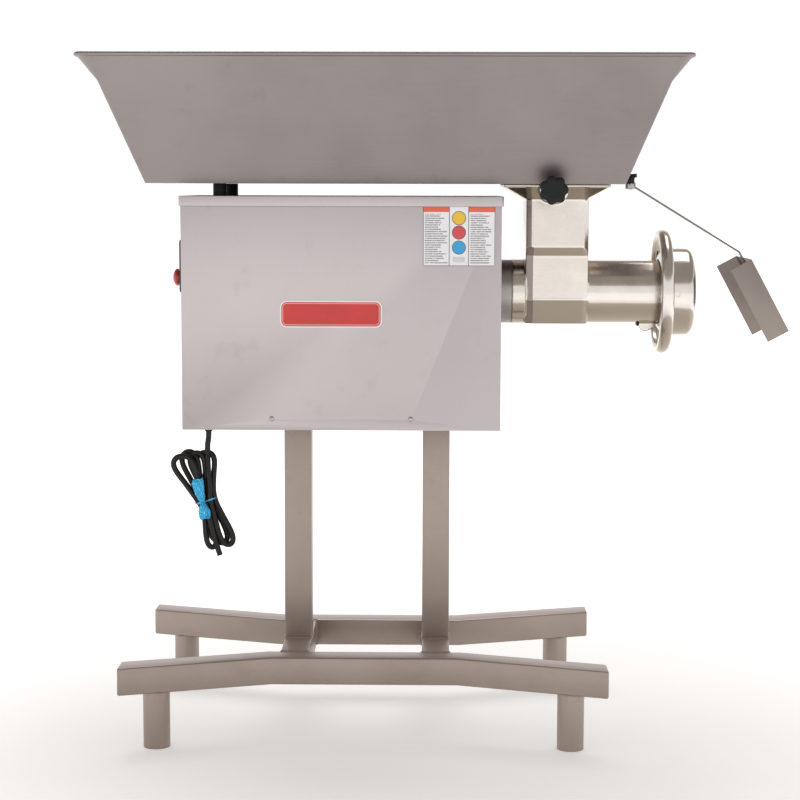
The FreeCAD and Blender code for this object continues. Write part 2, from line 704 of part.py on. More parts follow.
shaped("output_gear", gear_shape(
    d.slowModule.value, slow_teeth, d.slowWidth.value, slow_start,
    mesh_turn(slow_teeth, to_output + math.pi, True), d.spindleRadius.value), drive)
shaped("layshaft_gear", gear_shape(
    d.fastModule.value, fast_teeth, d.fastWidth.value, fast_start,
    mesh_turn(fast_teeth, to_motor, True), d.layRadius.value + 3), lay_at)
shaped("motor_pinion", gear_shape(
    d.fastModule.value, fast_pinion, d.fastWidth.value + 2, fast_start - 1,
    mesh_turn(fast_pinion, to_motor + math.pi, False), d.rotorShaftRadius.value - 4), motor_at)
lay_pinion = gear_shape(d.slowModule.value, slow_pinion, d.slowWidth.value + 3, slow_start - 1.5,
                        mesh_turn(slow_pinion, to_output, False), 0)
lay_end = (case_right - 6).value
shaft_start = (cover_left + 1).value
lay_shaft = Part.makeCylinder(d.layRadius.value, lay_end - shaft_start,
                              FreeCAD.Vector(shaft_start, 0, 0), AXES["X"])
lay_seat = Part.makeCylinder(d.layRadius.value + 3, slow_start - 1.5 - fast_start,
                             FreeCAD.Vector(fast_start, 0, 0), AXES["X"])
shaped("layshaft", lay_shaft.fuse([lay_seat, lay_pinion]).removeSplitter(), lay_at)


# ---------------------------------------------------------------- gearbox

tang_end = head_start + d.journalLength - 2
spindle = turned("output_shaft", drive, [
    (cover_left, 0), (cover_left, d.spindleRadius), (head_start - 1.5, d.spindleRadius),
    (head_start - 1.5, 0)])
sketch = new_sketch(spindle, "YZ", head_start - 1.5)
half_tang = d.tangSide / 2
rectangle(sketch, -half_tang, half_tang, -half_tang, half_tang)
pad(spindle, sketch, tang_end - head_start + 1.5)

case_low = -drop - d.fastModule * (d.fastPinionTeeth / 2 + 1) - d.caseWall - 2
case_high = d.slowModule * (d.slowGearTeeth / 2 + 1) + d.caseWall + 3
case_front = -case_high
case_back = lay_y + d.fastModule * (d.fastGearTeeth / 2 + 1) + d.caseWall + 2
output_race = d.spindleRadius + 15
lay_race = d.layRadius + 11

case = new_body("gearbox_housing", drive)
sketch = new_sketch(case, "YZ", case_left)
rectangle(sketch, case_front, case_back, case_low, case_high)
pad(case, sketch, d.caseLength)
sketch = new_sketch(case, "YZ", case_right)
circle(sketch, 0, 0, d.noseRadius)
pad(case, sketch, d.caseGap + d.hubGap)
sketch = new_sketch(case, "YZ", case_left)
rectangle(sketch, case_front + d.caseWall, case_back - d.caseWall, case_low + d.caseWall,
          case_high - d.caseWall)
pocket(case, sketch, d.caseLength - d.caseWall, reverse=True)
sketch = new_sketch(case, "YZ", case_right - d.caseWall)
circle(sketch, lay_y, lay_z, lay_race + 7)
pad(case, sketch, 14, reverse=True)
sketch = new_sketch(case, "YZ", case_right - d.caseWall - 14)
circle(sketch, lay_y, lay_z, lay_race)
pocket(case, sketch, 18, reverse=True)
sketch = new_sketch(case, "YZ", case_right - d.caseWall)
circle(sketch, 0, 0, d.noseBore)
pocket(case, sketch, d.caseGap + d.caseWall + d.hubGap, reverse=True)

cover = new_body("gearbox_cover", drive)
sketch = new_sketch(cover, "YZ", cover_left)
rectangle(sketch, case_front, case_back, case_low, case_high)
circle(sketch, 0, 0, output_race)
circle(sketch, lay_y, lay_z, lay_race)
circle(sketch, 0, -drop, d.rotorShaftRadius + 4)
pad(cover, sketch, d.coverThick)


def race(outer, shaft, width, start, y, z):
    return tube_ring(outer, shaft + d.runFit, width, face_x + start, y, d.barrelHeight + z)


keep(fuse([
    race(output_race, d.spindleRadius, d.coverThick, cover_left, 0, 0),
    race(d.noseBore, d.spindleRadius, 23, case_right + 6, 0, 0),
    race(lay_race, d.layRadius, d.coverThick, cover_left, lay_y, lay_z),
    race(lay_race, d.layRadius, 14, case_right - d.caseWall - 11, lay_y, lay_z),
]), "gearbox_bearings")

keep(race(d.sealBore, d.spindleRadius, 9, d.hubGap + 6, 0, 0), "shaft_seal")

bracket = new_body("gearbox_bracket", (face_x, 0, d.cabinetFloor + d.trayThick))
sketch = new_sketch(bracket, "XZ", -case_back + 12)
top = d.barrelHeight + case_low - d.cabinetFloor - d.trayThick
leg_left = case_left + 26              # both legs stand clear of the stand's bolts
leg_right = case_right - 6
polygon(sketch, [(leg_left, 0), (leg_left, top), (leg_right, top), (leg_right, 0), (leg_right - 6, 0),
                 (leg_right - 6, top - 6), (leg_left + 6, top - 6), (leg_left + 6, 0)])
pad(bracket, sketch, case_back - case_front - 24)


# ---------------------------------------------------------------- motor

motor = new_body("motor_housing", motor_at)
sketch = new_sketch(motor, "YZ", motor_left)
circle(sketch, 0, 0, d.motorRadius)
circle(sketch, 0, 0, d.motorRadius - d.motorWall)
pad(motor, sketch, d.motorLength)
sketch = new_sketch(motor, "YZ", motor_left + 12)
rectangle(sketch, -1.6, 1.6, d.motorRadius - 2, d.motorRadius + 9)
fin = pad(motor, sketch, d.motorLength - 24)
repeat_round(motor, fin, "X", d.finCount)
foot_drop = d.motorHeight - d.cabinetFloor - d.trayThick
for foot_x in (motor_left + 50, bell_left - 56):
    sketch = new_sketch(motor, "YZ", foot_x)
    low = -d.motorRadius * 0.8
    edge = d.motorRadius * 0.82
    polygon(sketch, [(-edge, -foot_drop), (edge, -foot_drop), (edge, 14 - foot_drop),
                     (edge * 0.55, 14 - foot_drop), (edge * 0.55, low), (-edge * 0.55, low),
                     (-edge * 0.55, 14 - foot_drop), (-edge, 14 - foot_drop)])
    pad(motor, sketch, 30)
sketch = new_sketch(motor, "YZ", motor_left)
circle(sketch, 0, 0, d.motorRadius - d.motorWall)
pocket(motor, sketch, d.motorLength, reverse=True)

stack_start = motor_left + (d.motorLength - d.stackLength) / 2
stack_end = stack_start + d.stackLength
motor_ring = (d.motorRadius - d.motorWall, d.statorBore)
motor_spot = (face_x, 0, d.motorHeight)
keep(tube_ring(motor_ring[0], motor_ring[1], d.stackLength, face_x + stack_start, 0,
               d.motorHeight), "stator_core")
windings = [tube_ring(motor_ring[0] - 5, motor_ring[1] + 5, 24, face_x + start, 0, d.motorHeight)
            for start in (stack_start - 24.2, stack_end + 0.2)]
keep(fuse(windings), "stator_windings")
rotor_radius = d.statorBore - d.airGap
keep(tube_ring(rotor_radius, d.rotorShaftRadius, d.stackLength, face_x + stack_start, 0,
               d.motorHeight), "rotor_core")

bearing_race = d.rotorShaftRadius + 12
bell_radius = d.motorRadius + 4
bell_starts = (bell_left, motor_left - d.bellThick)
for name, outside, inside in (("motor_end_bells", bell_radius, bearing_race),
                              ("motor_bearings", bearing_race, d.rotorShaftRadius + d.runFit)):
    keep(fuse([tube_ring(outside, inside, d.bellThick, face_x + start, 0, d.motorHeight)
               for start in bell_starts]), name)

fan_start = motor_left - d.bellThick - 24
turned("motor_shaft", motor_at, [
    (fan_start - 2, 0), (fan_start - 2, d.rotorShaftRadius), (cover_left + 14, d.rotorShaftRadius),
    (cover_left + 14, d.rotorShaftRadius - 4), (cover_left + 54, d.rotorShaftRadius - 4),
    (cover_left + 54, 0)])

fan = new_body("cooling_fan", motor_at)
sketch = new_sketch(fan, "YZ", fan_start)
circle(sketch, 0, 0, d.rotorShaftRadius + 9)
circle(sketch, 0, 0, d.rotorShaftRadius)
pad(fan, sketch, 18)
sketch = new_sketch(fan, "YZ", fan_start)
rectangle(sketch, -1.5, 1.5, d.rotorShaftRadius + 6, d.fanRadius)
blade = pad(fan, sketch, 18)
repeat_round(fan, blade, "X", d.fanBlades)

cowl_end = motor_left
cowl_start = fan_start - 10
cowl = turned("fan_cover", motor_at, [
    (cowl_start, 8), (cowl_start, bell_radius + 2), (cowl_end, bell_radius + 2),
    (cowl_end, bell_radius), (cowl_start + 1.6, bell_radius), (cowl_start + 1.6, 8)])
sketch = new_sketch(cowl, "YZ", cowl_start - 1)
rectangle(sketch, -2.5, 2.5, d.fanRadius * 0.35, d.fanRadius)
grille = pocket(cowl, sketch, 4, reverse=True)
repeat_round(cowl, grille, "X", 18)


# ---------------------------------------------------------------- grinding head

turned("hub_ring", drive, [
    (d.hubGap, d.sealBore), (d.hubGap, d.hubRadius - 0.8), (d.hubGap + 0.8, d.hubRadius),
    (head_start - 0.8, d.hubRadius), (head_start, d.hubRadius - 0.8), (head_start, d.sealBore)])


def lofted_block(low_x, low_y, low_z, high_x, high_y, high_z, x, z):
    """A frustum between two rectangles, centred on x and y = 0, with z rising."""
    wedge = doc.addObject("Part::Wedge", "Frustum")
    low_x, low_y, high_x, high_y = (size(v) for v in (low_x, low_y, high_x, high_y))
    settings = {"Xmin": -low_x, "Xmax": low_x, "Ymin": size(low_z), "Zmin": -low_y, "Zmax": low_y,
                "X2min": -high_x, "X2max": high_x, "Ymax": size(high_z), "Z2min": -high_y,
                "Z2max": high_y}
    for name, value in settings.items():
        wedge.setExpression(name, value.formula)
    return place(wedge, x, 0, z, FreeCAD.Rotation(AXES["X"], 90))


def outline_extrusion(plane, outline, start, length):
    """A straight block from a free outline, as an operand for the head's booleans."""
    body = doc.addObject("PartDesign::Body", "Block")
    place(body, *drive)
    sketch = new_sketch(body, plane, start)
    polygon(sketch, outline)
    pad(body, sketch, length)
    return body


def bevelled_rectangle(x0, x1, y0, y1, bevel):
    return [(x0 + bevel, y0), (x1 - bevel, y0), (x1, y0 + bevel), (x1, y1 - bevel),
            (x1 - bevel, y1), (x0 + bevel, y1), (x0, y1 - bevel), (x0, y0 + bevel)]


throat_left = d.throatX - d.throatHalf
throat_right = d.throatX + d.throatHalf
low_z = -d.barrelRadius
side_section = [(22, low_z), (d.blockDepth, -11), (d.blockDepth, 68), (d.throatDepth, 84),
                (d.throatDepth, d.throatTop), (-d.throatDepth, d.throatTop), (-d.throatDepth, 84),
                (-d.blockDepth, 68), (-d.blockDepth, -11), (-22, low_z)]
side_block = outline_extrusion("YZ", side_section, throat_left, d.throatHalf * 2)
plan_block = outline_extrusion(
    "XY", bevelled_rectangle(throat_left, throat_right, -d.throatDepth, d.throatDepth, d.cornerCut),
    low_z, d.throatTop - low_z)
neck = common(side_block, plan_block)

collar = cylinder(d.collarRadius, d.collarLength, face_x + head_start, 0, d.barrelHeight, "X")
barrel = cylinder(d.barrelRadius, d.barrelLength - d.collarLength,
                  face_x + head_start + d.collarLength, 0, d.barrelHeight, "X")
threaded = cylinder(d.threadRadius, d.threadLength, face_x + barrel_end - d.threadLength, 0,
                    d.barrelHeight, "X")
flange_low = d.flangeZ - d.flangeThick
flange_x = face_x + d.throatX - 4
flare = lofted_block(d.throatHalf - 1, d.throatDepth - 1, d.throatTop - 1, d.flangeHalf - 3,
                     d.flangeDepth - 3, flange_low, flange_x, d.barrelHeight)
flange = block(flange_x - d.flangeHalf, flange_x + d.flangeHalf, -d.flangeDepth, d.flangeDepth,
               d.barrelHeight + flange_low, d.barrelHeight + d.flangeZ)
boss = cylinder(d.clampBoss, d.clampBossLength, face_x + d.clampX, -d.throatDepth - d.clampBossLength,
                d.barrelHeight + d.clampZ, "Y")
headroom = block(face_x, face_x + barrel_end, -d.cabinetDepth, d.cabinetDepth,
                 d.barrelHeight - d.cabinetDepth, d.barrelHeight + d.flangeZ)
boss_end = d.throatDepth + d.clampBossLength
lug = cylinder(13, 24, face_x + barrel_end - 68, -12, d.barrelHeight - d.barrelRadius - 2.5, "Y")
outer = fuse([neck, collar, barrel, threaded, flare, flange, common(boss, headroom), lug])

bore = cylinder(d.boreRadius, d.barrelLength, face_x + head_start + d.journalLength, 0,
                d.barrelHeight, "X")
journal_bore = cylinder(d.journalRadius + d.runFit, d.journalLength, face_x + head_start, 0,
                        d.barrelHeight, "X")
mouth = block(face_x + d.throatX - d.mouthHalf, face_x + d.throatX + d.mouthHalf, -d.mouthDepth,
              d.mouthDepth, d.barrelHeight, d.barrelHeight + d.flangeZ)
clamp_hole = cylinder(d.clampScrewRadius + d.runFit, boss_end, face_x + d.clampX, -boss_end,
                      d.barrelHeight + d.clampZ, "Y")
pad_room = cylinder(d.clampScrewRadius + 3, d.clampPadThick + 12, face_x + d.clampX,
                    -d.mouthDepth - d.clampPadThick - 11, d.barrelHeight + d.clampZ, "Y")
keep(cut(outer, fuse([bore, journal_bore, mouth, clamp_hole, pad_room])), "grinding_head")


# auger: journal, core and one helical flight, square drive and front stud
auger_radius = d.boreRadius - d.augerFit
auger_start = head_start + 0.5
journal_end = head_start + d.journalLength
knife_start = plate_start - 0.3 - d.knifeThick
core_end = knife_start - 0.3
auger = turned("auger", drive, [
    (auger_start, 0), (auger_start, d.journalRadius), (journal_end, d.journalRadius),
    (journal_end + 6, d.augerCore), (core_end, d.augerCore), (core_end, 0)])
flight = auger.newObject("Sketcher::SketchObject", "auger_flight_sketch")
flight.AttachmentSupport = [(next(f for f in auger.Origin.OriginFeatures if f.Role == "XZ_Plane"), "")]
flight.MapMode = "FlatFace"
flight_start = journal_end + 12
polygon(flight, [(flight_start - 5, d.augerCore - 2), (flight_start + 5, d.augerCore - 2),
                 (flight_start + 3, auger_radius), (flight_start - 3, auger_radius)])
helix = auger.newObject("PartDesign::AdditiveHelix", "auger_flight")
helix.Profile = flight
helix.ReferenceAxis = (flight, ["H_Axis"])
helix.Mode = 0
helix.setExpression("Pitch", d.augerPitch.formula)
helix.setExpression("Height", (core_end - flight_start - 8).formula)
doc.recompute()
sketch = new_sketch(auger, "YZ", auger_start)
rectangle(sketch, -half_tang, half_tang, -half_tang, half_tang)
pocket(auger, sketch, tang_end - auger_start + 1, reverse=True)
sketch = new_sketch(auger, "YZ", core_end)
half_square = d.knifeSquare / 2
rectangle(sketch, -half_square, half_square, -half_square, half_square)
pad(auger, sketch, plate_start - core_end - 0.4)
sketch = new_sketch(auger, "YZ", core_end)
circle(sketch, 0, 0, d.studRadius)
pad(auger, sketch, plate_end - core_end - 1)

knife = new_body("knife", drive)
sketch = new_sketch(knife, "YZ", knife_start)
circle(sketch, 0, 0, 17)
pad(knife, sketch, d.knifeThick)
sketch = new_sketch(knife, "YZ", knife_start + 3)
polygon(sketch, [(-6, 10), (7, 10), (4, d.boreRadius - 3), (-5, d.boreRadius - 3)])
blade = pad(knife, sketch, d.knifeThick - 3)
repeat_round(knife, blade, "X", 4)
sketch = new_sketch(knife, "YZ", knife_start)
rectangle(sketch, -half_square, half_square, -half_square, half_square)
pocket(knife, sketch, d.knifeThick, reverse=True)

plate = new_body("grinding_plate", drive)
sketch = new_sketch(plate, "YZ", plate_start)
circle(sketch, 0, 0, d.boreRadius)
circle(sketch, 0, 0, d.studRadius + d.runFit)
pad(plate, sketch, d.plateLength)
for ring_radius, hole_count in ((14.5, 10), (22.5, 16), (30.5, 22), (38.5, 28)):
    sketch = new_sketch(plate, "YZ", plate_start)
    circle(sketch, 0, ring_radius, d.plateHole)
    hole = pocket(plate, sketch, d.plateLength, reverse=True)
    repeat_round(plate, hole, "X", hole_count)

thrust_start = plate_end + 0.3
turned("thrust_ring", drive, [
    (thrust_start, d.ringLip + 1), (thrust_start, d.thrustRadius),
    (thrust_start + d.thrustThick, d.thrustRadius), (thrust_start + d.thrustThick, d.ringLip + 1)])

wheel_start = barrel_end - d.threadLength - 5
wheel_end = wheel_start + d.wheelThick
cup_end = wheel_end + d.cupLength
ring_bore = d.threadRadius + d.threadFit
lip_start = thrust_start + d.thrustThick + 0.3
rim_half = d.wheelThick / 2
web_low = wheel_start + (d.wheelThick - d.webThick) / 2
web_high = web_low + d.webThick
rim_in = d.wheelRadius - d.wheelThick * 1.1
ring = turned("ring_nut", drive, [
    (wheel_start, ring_bore), (wheel_start, ring_bore + 7), (web_low, ring_bore + 10), (web_low, rim_in),
    (wheel_start + 2, rim_in + 3), (wheel_start, d.wheelRadius - rim_half),
    (wheel_start + 2.5, d.wheelRadius - 2.5), (wheel_start + rim_half, d.wheelRadius),
    (wheel_end - 2.5, d.wheelRadius - 2.5), (wheel_end, d.wheelRadius - rim_half),
    (wheel_end - 2, rim_in + 3), (web_high, rim_in), (web_high, d.cupRadius + 2),
    (wheel_end, d.cupRadius), (cup_end - d.cupRound, d.cupRadius),
    (cup_end - d.cupRound * 0.3, d.cupRadius - d.cupRound * 0.3),
    (cup_end, d.cupRadius - d.cupRound), (cup_end, d.ringLip), (lip_start, d.ringLip),
    (lip_start, ring_bore)])
sketch = new_sketch(ring, "YZ", wheel_start - 1)
circle(sketch, 0, d.slotReach, d.slotRadius)
slot = pocket(ring, sketch, d.wheelThick + 2, reverse=True)
repeat_round(ring, slot, "X", d.wheelSlots)


# ---------------------------------------------------------------- feed pan

pan = new_body("feed_pan", (d.panX, 0, d.panBottom))
wall_slope = (d.panRimDepth - d.panBottomDepth) / d.panHeight
knee_depth = d.panBottomDepth + wall_slope * d.kneeHeight


def pan_section(height, half, depth, corner, inset):
    sketch = new_sketch(pan, "XY", height)
    rounded(sketch, half - inset, depth - inset, corner)
    return sketch


def pan_loft(kind, low, high):
    feature = pan.newObject(kind, "pan_loft")
    feature.Profile = low
    feature.Sections = [high]
    feature.Ruled = True
    doc.recompute()


rim_half_length = d.panRimHalf
for kind, inset, floor in (("PartDesign::AdditiveLoft", 0, size(0)),
                           ("PartDesign::SubtractiveLoft", d.panSheet, d.panSheet)):
    low = pan_section(floor, d.panBottomHalf + floor * (d.panKneeHalf - d.panBottomHalf) / d.kneeHeight,
                      d.panBottomDepth + floor * wall_slope, d.panCorner, inset)
    knee = pan_section(d.kneeHeight, d.panKneeHalf, knee_depth, d.panCorner, inset)
    knee_again = pan_section(d.kneeHeight, d.panKneeHalf, knee_depth, d.panCorner, inset)
    rim = pan_section(d.panHeight, rim_half_length, d.panRimDepth, d.rimCorner, inset)
    pan_loft(kind, low, knee)
    pan_loft(kind, knee_again, rim)

path = pan_section(d.panHeight, rim_half_length, d.panRimDepth, d.rimCorner, 1)
sketch = new_sketch(pan, "YZ")
circle(sketch, -d.panRimDepth + 1, d.panHeight, d.beadRadius)
bead = pan.newObject("PartDesign::AdditivePipe", "pan_bead")
bead.Profile = sketch
bead.Spine = (path, [])
doc.recompute()

spout_half_x = d.mouthHalf - d.spoutFit
spout_half_y = d.mouthDepth - d.spoutFit
spout_x = face_x + d.throatX
sketch = new_sketch(pan, "XY", -1)
rectangle(sketch, spout_x - d.panX - spout_half_x, spout_x - d.panX + spout_half_x, -spout_half_y,
          spout_half_y)
pocket(pan, sketch, d.panSheet + 2, reverse=True)

spout = new_body("pan_spout", (spout_x, 0, d.panBottom - d.spoutDrop))
sketch = new_sketch(spout, "XY")
rectangle(sketch, -spout_half_x, spout_half_x, -spout_half_y, spout_half_y)
rectangle(sketch, d.panSheet - spout_half_x, spout_half_x - d.panSheet, d.panSheet - spout_half_y,
          spout_half_y - d.panSheet)
pad(spout, sketch, d.spoutDrop + d.panSheet)


# ---------------------------------------------------------------- clamp that holds the pan

clamp = (face_x + d.clampX, 0, d.barrelHeight + d.clampZ)
pad_back = -spout_half_y - 0.3
pad_front = pad_back - d.clampPadThick
keep(cylinder(d.clampScrewRadius + 2, d.clampPadThick, clamp[0], pad_front, clamp[2], "Y"), "clamp_pad")

knob_back = -d.panBottomDepth - d.knobGap
keep(cylinder(d.clampScrewRadius, pad_front - 0.3 - knob_back + 8, clamp[0], knob_back - 8, clamp[2],
              "Y"), "clamp_screw")

knob = new_body("clamp_knob", (clamp[0], knob_back, clamp[2]))
sketch = new_sketch(knob, "XZ")
circle(sketch, 0, 0, d.knobRadius - 2.5)
pad(knob, sketch, d.knobLength)
sketch = new_sketch(knob, "XZ")
circle(sketch, 0, d.knobRadius - 6, 6)
lobe = pad(knob, sketch, d.knobLength - 3)
repeat_round(knob, lobe, "Y", d.knobLobes)
sketch = new_sketch(knob, "XZ", -1)
circle(sketch, 0, 0, d.clampScrewRadius)
pocket(knob, sketch, 9, reverse=True)


# ---------------------------------------------------------------- splash guard

pivot = (d.panX + d.pivotX, 0, d.panBottom + d.pivotZ)
end_slope = (d.panKneeHalf - d.panBottomHalf) / d.kneeHeight
ear_half = d.eyeWidth / 2 + 0.3 + d.earThick


def wall_x(height):
    """How far the pan's end wall stands out at a height over its floor."""
    return d.panBottomHalf + end_slope * height


holder = new_body("guard_bracket", (d.panX, 0, d.panBottom))
sketch = new_sketch(holder, "XZ")
polygon(sketch, [(wall_x(size(2)), 2), (wall_x(size(22)), 22), (d.pivotX + 12, 20),
                 (d.pivotX + 12, d.pivotZ - 9), (d.pivotX - 12, d.pivotZ - 9), (d.pivotX - 20, -4)])
pad(holder, sketch, ear_half * 2, both=True)
sketch = new_sketch(holder, "XZ")
rectangle(sketch, d.pivotX - d.eyeRadius - 1, d.pivotX + 20, -20, 30)
pocket(holder, sketch, d.eyeWidth + 0.6, both=True)
sketch = new_sketch(holder, "XZ")
circle(sketch, d.pivotX, d.pivotZ, d.pivotRadius)
pocket(holder, sketch, ear_half * 4, both=True)

nut_thick = d.pivotRadius * 1.6
pivot_bolt = fuse([
    cylinder(d.pivotRadius, ear_half * 2 + nut_thick * 2 + 3, pivot[0], -ear_half - nut_thick - 3,
             pivot[2], "Y"),
    hexagon(19.6, nut_thick, pivot[0], ear_half, pivot[2], "Y"),
    hexagon(19.6, nut_thick, pivot[0], -ear_half - nut_thick, pivot[2], "Y")])
keep(pivot_bolt, "guard_bolt")

def tilted(body, angle):
    """Turns a body about the Y axis through its own origin."""
    body.Placement = FreeCAD.Placement(body.Placement.Base, FreeCAD.Rotation(AXES["Y"], 1))
    body.setExpression("Placement.Rotation.Angle", angle.formula)


# the rod ends in a tail that is welded along the inside of the guard's web
arm = new_body("guard_arm", pivot)
tilted(arm, d.rodDrop)
sketch = new_sketch(arm, "YZ", d.eyeRadius - 2)
circle(sketch, 0, 0, d.rodRadius)
pad(arm, sketch, d.rodLength - d.eyeRadius + 2)
tail_turn = 90 - d.guardLean - d.rodDrop
along_x, along_z = cosine(tail_turn), -sine(tail_turn)
side_x, side_z = sine(tail_turn) * d.rodRadius, cosine(tail_turn) * d.rodRadius
sketch = new_sketch(arm, "XZ")
polygon(sketch, [(d.rodLength + side_x, side_z), (d.rodLength - side_x, -side_z),
                 (d.rodLength + along_x * d.tailLength - side_x, along_z * d.tailLength - side_z),
                 (d.rodLength + along_x * d.tailLength + side_x, along_z * d.tailLength + side_z)])
pad(arm, sketch, d.rodRadius * 2, both=True)
sketch = new_sketch(arm, "XZ")
circle(sketch, 0, 0, d.eyeRadius)
pad(arm, sketch, d.eyeWidth, both=True)
sketch = new_sketch(arm, "XZ")
circle(sketch, 0, 0, d.pivotRadius + d.runFit)
pocket(arm, sketch, d.eyeWidth * 2, both=True)

web_lift = d.rodRadius + d.guardSheet
guard_at = (pivot[0] + d.rodLength * cosine(d.rodDrop) + web_lift * cosine(d.guardLean)
            + d.tailFree * sine(d.guardLean), 0,
            pivot[2] - d.rodLength * sine(d.rodDrop) + web_lift * sine(d.guardLean)
            - d.tailFree * cosine(d.guardLean))
guard = new_body("guard_channel", guard_at)
tilted(guard, -d.guardLean)
sketch = new_sketch(guard, "XY")
half_width = d.guardWidth / 2
flange_in = d.guardSheet - d.guardFlange
polygon(sketch, [(0, -half_width), (0, half_width), (-d.guardFlange, half_width),
                 (-d.guardFlange, half_width - d.guardSheet), (-d.guardSheet, half_width - d.guardSheet),
                 (-d.guardSheet, d.guardSheet - half_width), (-d.guardFlange, d.guardSheet - half_width),
                 (-d.guardFlange, -half_width)])
pad(guard, sketch, d.guardLength, reverse=True)


# ---------------------------------------------------------------- supply cord

cord_x = cabinet_x + d.cordX
gland_low = d.cabinetFloor - d.glandLength
gland_collar = d.glandLength * 0.45
cone = doc.addObject("Part::Cone", "Sleeve")
cone.setExpression("Radius1", (d.cordRadius + 1.6).formula)
cone.setExpression("Radius2", (d.glandRadius * 0.8).formula)
cone.setExpression("Height", (d.glandLength - gland_collar).formula)
place(cone, cord_x, d.cordY, gland_low)
gland_hex = hexagon(d.glandRadius * 2.2, gland_collar, cord_x, d.cordY, d.cabinetFloor - gland_collar)
gland_stem = cylinder(d.glandRadius * 0.75, d.trayThick + 10, cord_x, d.cordY, d.cabinetFloor)
gland_nut = hexagon(d.glandRadius * 2.2, 5, cord_x, d.cordY, d.cabinetFloor + d.trayThick)
keep(fuse([cone, gland_hex, gland_stem, gland_nut]), "cord_gland")

# the hanging stretch: gland, then points by hand down to the hank (offsets from the gland's axis)
CORD_DROPS = [(0.0, 0.0, 0.0), (0.0, 0.0, 0.33), (-2.2, -0.8, 0.67), (-2.2, -0.8, 1.0)]
drop_length = gland_low.value - d.hankTop.value
cord_points = [FreeCAD.Vector(dx, dy, -share * drop_length) for dx, dy, share in CORD_DROPS]


def cord_tube(points, radius):
    """A round tube along straight runs joined by tangent arcs; returns it and its length."""
    edges = []
    start = points[0]
    for before, corner, after in zip(points, points[1:], points[2:]):
        arriving = corner - before
        leaving = after - corner
        shorter = min(arriving.Length, leaving.Length)
        turn = arriving.getAngle(leaving)
        setback = 0.45 * shorter
        bend = setback / math.tan(turn / 2)
        print("cord bend radius", round(bend, 1))
        arriving.normalize()
        leaving.normalize()
        arc_start = corner - arriving * setback
        arc_end = corner + leaving * setback
        inward = (leaving - arriving)
        inward.normalize()
        sagitta = bend / math.cos(turn / 2) - bend
        edges.append(Part.LineSegment(start, arc_start).toShape())
        edges.append(Part.Arc(arc_start, corner + inward * sagitta, arc_end).toShape())
        start = arc_end
    edges.append(Part.LineSegment(start, points[-1]).toShape())
    path = Part.Wire(edges)
    first = points[1] - points[0]
    section = Part.Wire([Part.makeCircle(radius, points[0], first)])
    return path.makePipeShell([section], True, False), path.Length


tube, tube_length = cord_tube(cord_points, d.cordRadius.value)
ideal = math.pi * d.cordRadius.value ** 2 * tube_length
print("cord tube length", round(tube_length, 1), "volume share", round(tube.Volume / ideal, 4))
if abs(tube.Volume / ideal - 1) > 0.02:
    raise ValueError("the cord's tube is not its section times its length")
shaped("cord_tube", tube, (cord_x, d.cordY, gland_low))

# the hank's outer shape, tied at its waist: a fan of loops above it and below it
HANK_OUTLINE = [(-12.0, 0.0), (4.0, 0.0), (10.0, -8.5), (15.5, -32.0), (14.0, -86.0), (34.0, -122.0), (41.0, -152.0),
                (49.0, -174.0), (43.0, -184.0), (27.0, -188.0), (24.0, -203.0), (15.0, -203.0),
                (14.0, -189.5), (3.0, -188.0), (-9.0, -158.0), (-17.0, -125.0), (-42.0, -76.0),
                (-68.0, -44.0), (-73.0, -30.0), (-66.0, -10.0), (-36.0, 2.0)]
hank = new_body("cord_hank", (cord_x, d.cordY, d.hankTop))
sketch = new_sketch(hank, "XZ")
polygon(sketch, HANK_OUTLINE)
pad(hank, sketch, d.hankThick, both=True)

TIE_OUTLINE = [(-31.0, -50.0), (-13.5, -48.5), (-8.0, -90.0), (4.0, -117.0), (-5.0, -132.0),
               (-17.5, -124.0)]
tie = new_body("cord_tie", (cord_x, d.cordY, d.hankTop))
sketch = new_sketch(tie, "XZ", d.hankThick / 2)
polygon(sketch, TIE_OUTLINE)
pad(tie, sketch, d.tieThick)


# ---------------------------------------------------------------- check and write

doc.recompute()
for thing in doc.Objects:
    if {"Invalid", "Error"} & set(thing.State):
        raise ValueError(f"{thing.Label} failed: {thing.State}")
names = [thing.Label for thing in subparts]
if len(set(names)) != len(names):
    raise ValueError("two sub-parts share a name")
os.makedirs("parts", exist_ok=True)
for thing in subparts:
    shape = thing.Shape
    if shape.isNull() or not shape.isValid() or shape.Volume <= 0:
        raise ValueError(f"{thing.Label} has no valid solid")
    shape.exportStep(f"parts/{thing.Label}.step")
print(len(subparts), "sub-parts written")
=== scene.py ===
import json
import math
import random

import bmesh
import bpy
from mathutils import Matrix, Vector


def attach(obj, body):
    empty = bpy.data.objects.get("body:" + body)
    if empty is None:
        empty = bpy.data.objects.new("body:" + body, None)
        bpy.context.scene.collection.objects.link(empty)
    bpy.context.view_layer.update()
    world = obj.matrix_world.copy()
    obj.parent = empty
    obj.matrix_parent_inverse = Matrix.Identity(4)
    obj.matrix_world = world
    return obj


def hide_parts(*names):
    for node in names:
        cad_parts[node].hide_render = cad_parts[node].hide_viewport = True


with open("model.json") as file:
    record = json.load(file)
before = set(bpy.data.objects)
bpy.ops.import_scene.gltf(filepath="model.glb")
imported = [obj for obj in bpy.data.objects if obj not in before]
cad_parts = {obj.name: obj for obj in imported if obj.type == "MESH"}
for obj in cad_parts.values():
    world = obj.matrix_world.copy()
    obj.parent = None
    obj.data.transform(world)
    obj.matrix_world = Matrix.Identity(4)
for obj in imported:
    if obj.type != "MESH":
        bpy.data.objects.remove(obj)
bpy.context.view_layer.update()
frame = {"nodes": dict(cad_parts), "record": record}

bodyOf = {node: body for body, nodes in frame["record"]["behaviour"]["bodies"].items() for node in nodes}
